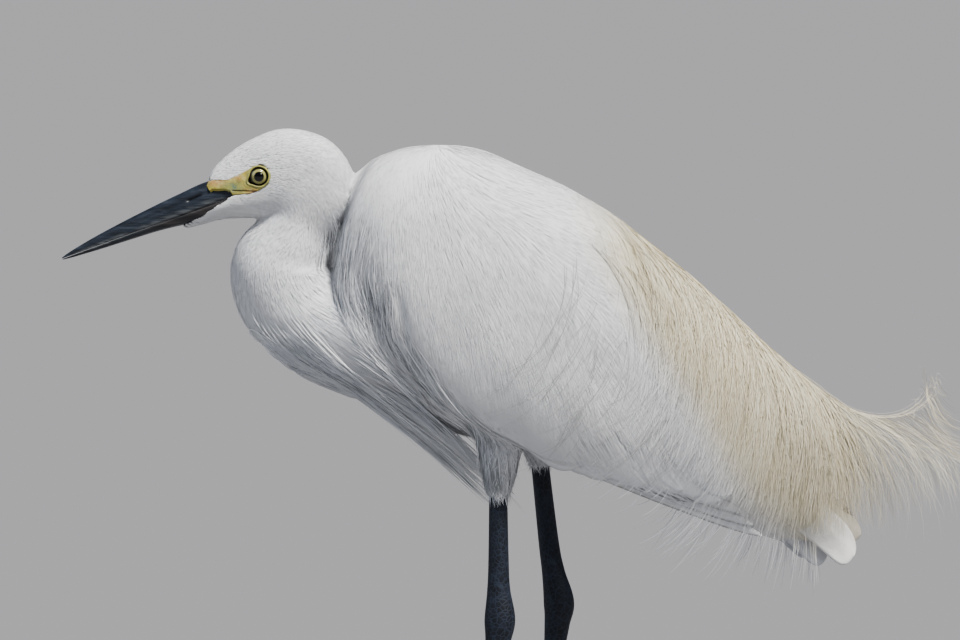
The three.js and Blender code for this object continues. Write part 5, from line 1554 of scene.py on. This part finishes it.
# bare face: lores, the skin round the eye with its lids, and the line of the mouth
faceLook = {"orange": [(0.44, 0.20, 0.05), (0.52, 0.31, 0.10), (0.56, 0.42, 0.20)],
            "yellow": [(0.33, 0.25, 0.03), (0.42, 0.35, 0.045), (0.50, 0.43, 0.10)],
            "front": -153.6, "back": -117.85, "rim": 4.95, "corner": 208, "lids": 0.5, "mouth": 0.5}
upperFace = np.array([
    (-153.6, 325.6), (-152.5, 326.0), (-148.2, 326.7), (-143.3, 327.0), (-137, 329.4), (-131.4, 332.0),
    (-129, 333.5), (-125.3, 334.5), (-121.7, 333.6), (-119.0, 331.2), (-117.8, 328.0),
])
lowerFace = np.array([
    (-153.6, 323.6), (-151.8, 321.5), (-150.5, 319.6), (-149.2, 320.7), (-146.5, 320.5), (-143, 320.8),
    (-140.1, 320.0), (-138.5, 317.8), (-134.6, 318.0), (-130, 318.6), (-126.6, 319.7), (-123.4, 321.4),
    (-120.2, 323.7), (-117.8, 328.0),
])


# yellow skin, spotted, mixed with orange, green and black by the marks warm, green and dark
def faceMaterial():
    material, tree, shader = newMaterial("bareFace", 0.5, 0.4)
    spots = noiseAt(tree, 420.0, 5.0)
    places = (0.34, 0.5, 0.66)
    yellow, orange = (rampOf(tree, spots, zip(places, faceLook[key])) for key in ("yellow", "orange"))
    cool = rampOf(tree, spots, [(0.35, (0.15, 0.22, 0.14)), (0.65, (0.32, 0.33, 0.08))])
    colour = mixColours(tree, attributeOf(tree, "warm"), yellow, orange)
    colour = mixColours(tree, attributeOf(tree, "green"), colour, cool)
    colour = mixColours(tree, attributeOf(tree, "dark"), colour, (0.008, 0.009, 0.011))
    tree.links.new(colour, shader.inputs["Base Color"])
    bumpFrom(tree, shader, noiseAt(tree, 1500.0, 3.0), 0.0003, 0.7)
    return material


def headSide(side, x, z, lift):  # a point of the head's side at x and z, lifted along the normal of that side
    y = sideHalf(headStations, x, z)
    alongX = sideHalf(headStations, x + 0.5, z) - sideHalf(headStations, x - 0.5, z)
    alongZ = sideHalf(headStations, x, z + 0.5) - sideHalf(headStations, x, z - 0.5)
    size = np.sqrt(alongX**2 + 1 + alongZ**2)
    return np.stack([x - alongX / size * lift, side * (y + lift / size), z - alongZ / size * lift], -1)


# a sheet between the face's lower and upper line, lifted off the head by lids, folds and the mouth's line,
# and sunk at its edge and inside the lids
def makeFace():
    material, look = faceMaterial(), faceLook
    x = np.linspace(look["front"], look["back"], 150)[:, None]
    q = np.linspace(0, 1, 74)[None]
    top = np.interp(x, upperFace[:, 0], upperFace[:, 1])
    bottom = np.interp(x, lowerFace[:, 0], lowerFace[:, 1])
    top = np.minimum(top, smoothColumn(headStations, x, 1) - 0.5)
    z = bottom + (top - bottom) * q
    edge = np.minimum(np.minimum(q, 1 - q) * (top - bottom), np.minimum(x - look["front"], look["back"] - x))
    away = np.hypot(x - eyeX, z - eyeZ)
    phi = np.arctan2(z - eyeZ, x - eyeX)
    turned = np.abs(np.mod(phi - np.radians(look["corner"]) + np.pi, 2 * np.pi) - np.pi)
    rim = look["rim"] + 1.5 * bell(turned, 0, 0.34)
    lids = look["lids"] * bell(away - rim, 0.45, 0.45)
    folds = 0.14 * bell(away - rim, 2.0, 0.4) * (z < 326)
    mouth = bell(z, 320.6 - 0.02 * (x + 137), 0.34)
    mouth = mouth * smoothStep(-140, -137.5, x) * smoothStep(-124.5, -128, x)
    sunk = -1.3 * (1 - smoothStep(0, 1.1, edge)) - 1.2 * smoothStep(rim, rim - 0.5, away)
    lift = 0.15 + lids + folds - look["mouth"] * mouth + sunk
    lift = lift + 0.1 * wander(np.stack([x + 0 * z, z, 0 * z], -1), 2, 5)
    green = bell(x, -138.5, 6) * bell(z, 322.6, 3.0) + 0.55 * bell(away - rim, 0.7, 0.9)
    dark = np.maximum(smoothStep(rim + 0.15, rim - 0.15, away), 0.95 * mouth)
    warm = bell(x, -147, 5.5) * smoothStep(321.5, 325, z) + bell(x, -128.5, 3.2) * bell(z, 320.6, 1.4)
    warm = warm + 0.7 * bell(x, -136, 3) * bell(z, 327.5, 1.6)
    marks = {"green": np.clip(green, 0, 1), "dark": dark, "warm": np.clip(warm, 0, 1)}
    faces = gridFaces(*z.shape)
    for handed, side in (("Left", -1), ("Right", 1)):
        grid = headSide(side, x + 0 * z, z, lift)
        quads = faces if side < 0 else faces[:, ::-1]
        makeMesh("face" + handed, grid, quads, material, marks=marks)


makeFace()
print("head details made")


# legs: scaled skin, with knuckles, toes and claws
def scaleCells(tree):  # how far a place is from the edge of its scale, on the piece's own map
    place = addNode(tree, "ShaderNodeUVMap", uv_map="Surface")
    cells = addNode(tree, "ShaderNodeTexVoronoi", feature="DISTANCE_TO_EDGE", Scale=1.0)
    tree.links.new(place.outputs["UV"], cells.inputs["Vector"])
    return cells.outputs["Distance"]


def legMaterial():  # blue-black tones, paler along the scales' edges, which are hollows
    material, tree, shader = newMaterial("blackScales", 0.55, 0.28)
    cells = scaleCells(tree)
    stops = [(0.35, (0.003, 0.004, 0.007)), (0.6, (0.007, 0.010, 0.018)), (0.78, (0.016, 0.022, 0.036))]
    edge = rampOf(tree, cells, [(0.0, (1, 1, 1)), (0.1, (0, 0, 0))])
    colour = mixColours(tree, edge, rampOf(tree, noiseAt(tree, 130.0, 4.0), stops), (0.016, 0.023, 0.039))
    tree.links.new(colour, shader.inputs["Base Color"])
    height = rampOf(tree, cells, [(0.0, (0, 0, 0)), (0.16, (0.8, 0.8, 0.8)), (0.5, (1, 1, 1))])
    bumpFrom(tree, shader, height, 0.0001, 0.8)
    return material


def footMaterial():  # yellow tones, duller along the scales' edges, and black where the mark dark is 1
    material, tree, shader = newMaterial("yellowFoot", 0.5, 0.4)
    cells = scaleCells(tree)
    stops = [(0.3, (0.42, 0.36, 0.05)), (0.55, (0.60, 0.50, 0.08)), (0.75, (0.66, 0.56, 0.14))]
    edge = rampOf(tree, cells, [(0.0, (0.5, 0.46, 0.4)), (0.14, (1, 1, 1))])
    colour = mixColours(tree, 1.0, rampOf(tree, noiseAt(tree, 150.0, 4.0), stops), edge, "MULTIPLY")
    colour = mixColours(tree, attributeOf(tree, "dark"), colour, (0.010, 0.010, 0.012))
    tree.links.new(colour, shader.inputs["Base Color"])
    height = rampOf(tree, cells, [(0.0, (0, 0, 0)), (0.2, (0.9, 0.9, 0.9)), (0.6, (1, 1, 1))])
    bumpFrom(tree, shader, height, 0.0003, 1.0)
    return material


def surfaceUv(grid, across, along):  # u counts the scales round a tube, v those along it
    rows, columns = grid.shape[:2]
    u = np.linspace(0, across, columns)[None] + np.zeros((rows, 1))
    length = np.concatenate([[0], np.cumsum(np.linalg.norm(np.diff(grid.mean(1), axis=0), axis=-1))])
    return np.stack([u, (length / along)[:, None] + 0 * u], -1)


def legRows(leg):  # rows of the bare leg's tube down to the sole: x, y, z, half widths
    (topX, topZ), (ankleX, ankleZ) = leg["thighEnd"], leg["ankle"]
    footX, y = leg["foot"], leg["side"] * legAside
    return [
        (topX, y, topZ + 12, 4.6, 3.9),
        ((topX + ankleX) / 2, y, (topZ + ankleZ) / 2, 5.3, 4.2),
        ((topX + ankleX * 3) / 4, y, (topZ + ankleZ * 3) / 4, 6, 4.6),
        (ankleX + 0.5, y, ankleZ, 8, 5.8),
        (ankleX - 0.5, y, ankleZ - 12, 6.6, 5),
        ((ankleX * 2 + footX) / 3, y, ankleZ * 2 / 3, 5, 4.2),
        ((ankleX + footX * 3) / 4, y, ankleZ / 4, 4.3, 4),
        (footX, y, 7, 5.2, 4.8),
        (footX, y, 2.2, 5.0, 4.8),
    ]


footLook = {
    "toes": [(-4, 58, 3.3), (20, 46, 3.0), (-36, 50, 3.0), (176, 31, 3.0)],  # turn from ahead, length, radius
    "shares": [0, 0.14, 0.3, 0.44, 0.6, 0.74, 0.88, 1],
    "sizes": [1.25, 1.1, 0.86, 1.0, 0.76, 0.88, 0.66, 0.6],  # thick at the knuckles, thin between them
    "cuff": [(10.4, 5.3, 4.95), (7, 5.5, 5.1), (1.2, 5.2, 5.0)],  # height and two half widths
    "scale": 2.6, "cuffScale": 2.7,
}


# a toe is a tube with knuckles, its underside pressed flat, and its claw a thin tube that ends in a point
def toeTubes(root, heading, length, radius):
    ahead = np.array([np.cos(heading), np.sin(heading)])
    rows = []
    for i, (s, size) in enumerate(zip(footLook["shares"], footLook["sizes"])):
        height, size = radius * (1.3 if i == 0 else 0.84), radius * size
        rows.append((*(root + ahead * length * s), height, size, size))
    toe = tubePoints(rows, 90, 24, (0, 0, 1))
    toe[..., 2] = np.maximum(toe[..., 2], 0.05 + 0.1 * np.abs(toe[..., 2]) * (toe[..., 2] < 0))
    claw = [(*(root + ahead * (length * 0.93)), radius * 0.62, radius * 0.52, radius * 0.46),
            (*(root + ahead * (length * 0.94 + 5)), radius * 0.72, radius * 0.42, radius * 0.34),
            (*(root + ahead * (length * 0.94 + 9)), radius * 0.42, radius * 0.24, radius * 0.18),
            (*(root + ahead * (length * 0.94 + 11.5)), 0.3, 0.12, 0.12)]
    return toe, tubePoints(claw, 24, 16, (0, 0, 1))


# four toes with their claws and a cuff round the shank's end, as one mesh
def makeFoot(handed, leg, material):
    root = np.array([leg["foot"], leg["side"] * legAside])
    tubes = []
    for turn, length, radius in footLook["toes"]:
        toe, claw = toeTubes(root, np.radians(180 + leg["side"] * turn), length, radius)
        tubes += [(toe, 7, footLook["scale"], 0.0), (claw, 7, footLook["scale"], 1.0)]
    cuff = tubePoints([(*root, *row) for row in footLook["cuff"]], 20, 32, (1, 0, 0))
    tubes.append((cuff, 9, footLook["cuffScale"], 0.0))
    points, quads, uvs, darks, start = [], [], [], [], 0
    for tube, across, along, dark in tubes:
        closed, faces = cappedTube(tube)
        points.append(closed.reshape(-1, 3))
        quads.append(faces + start)
        uvs.append(surfaceUv(closed, across, along).reshape(-1, 2))
        darks.append(np.full(len(points[-1]), dark))
        start += len(points[-1])
    points, quads, uvs, darks = (np.concatenate(rows) for rows in (points, quads, uvs, darks))
    foot = makeMesh("foot" + handed.capitalize(), points, quads, material, uvs, "Surface",
                    marks={"dark": darks})
    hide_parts("foot_" + handed)


def makeLegs():  # one closed tube from the thigh to the sole for each leg, and its foot
    material, yellow = legMaterial(), footMaterial()
    for handed, leg in legs.items():
        full, faces = cappedTube(tubePoints(legRows(leg), 220, 40, (1, 0, 0)))
        uv = surfaceUv(full, 15, footLook["scale"])
        shank = makeMesh("leg" + handed.capitalize(), full, faces, material, uv, "Surface")
        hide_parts("shank_" + handed, "tarsus_" + handed)
        makeFoot(handed, leg, yellow)


makeLegs()
print("legs made")

studio = {
    "floor": (0.19, 0.19, 0.197), "world": (0.085, 0.1, 0.135), "reach": 70,
    "lamps": [  # name, place, angle in degrees, power and colour
        ("keyLamp", (0.8, -0.88, 2.1), 9, 8.0, (1.0, 0.98, 0.95)),
        ("fillLamp", (-2.6, -0.8, 1.4), 40, 0.65, (0.72, 0.84, 1.0)),
        ("catchLamp", (0.46, -0.66, 0.59), 11, 0.55, (1.0, 0.99, 0.97)),
    ],
}


def makeStudio():  # a wide plain floor, an even sky, and lamps that shine from their place towards the origin
    material, _, shader = newMaterial("studioFloor", 0.9, 0.2)
    shader.inputs["Base Color"].default_value = (*studio["floor"], 1)
    mesh = bpy.data.meshes.new("studioFloor")
    r = studio["reach"]
    mesh.from_pydata([(-r, -r, 0), (r, -r, 0), (r, r, 0), (-r, r, 0)], [], [(0, 1, 2, 3)])
    floor = bpy.data.objects.new("studioFloor", mesh)
    mesh.materials.append(material)
    bpy.context.scene.collection.objects.link(floor)
    world = bpy.data.worlds.new("studioAir")
    world.use_nodes = True
    sky = world.node_tree.nodes["Background"]
    sky.inputs["Color"].default_value = (*studio["world"], 1)
    sky.inputs["Strength"].default_value = 1.0
    bpy.context.scene.world = world
    for name, place, spread, power, colour in studio["lamps"]:
        data = bpy.data.lights.new(name, "SUN")
        data.angle, data.energy, data.color = np.radians(spread), power, colour
        lamp = bpy.data.objects.new(name, data)
        lamp.location = place
        lamp.rotation_euler = Vector(place).to_track_quat("Z", "Y").to_euler()
        bpy.context.scene.collection.objects.link(lamp)


makeStudio()

print("studio made")
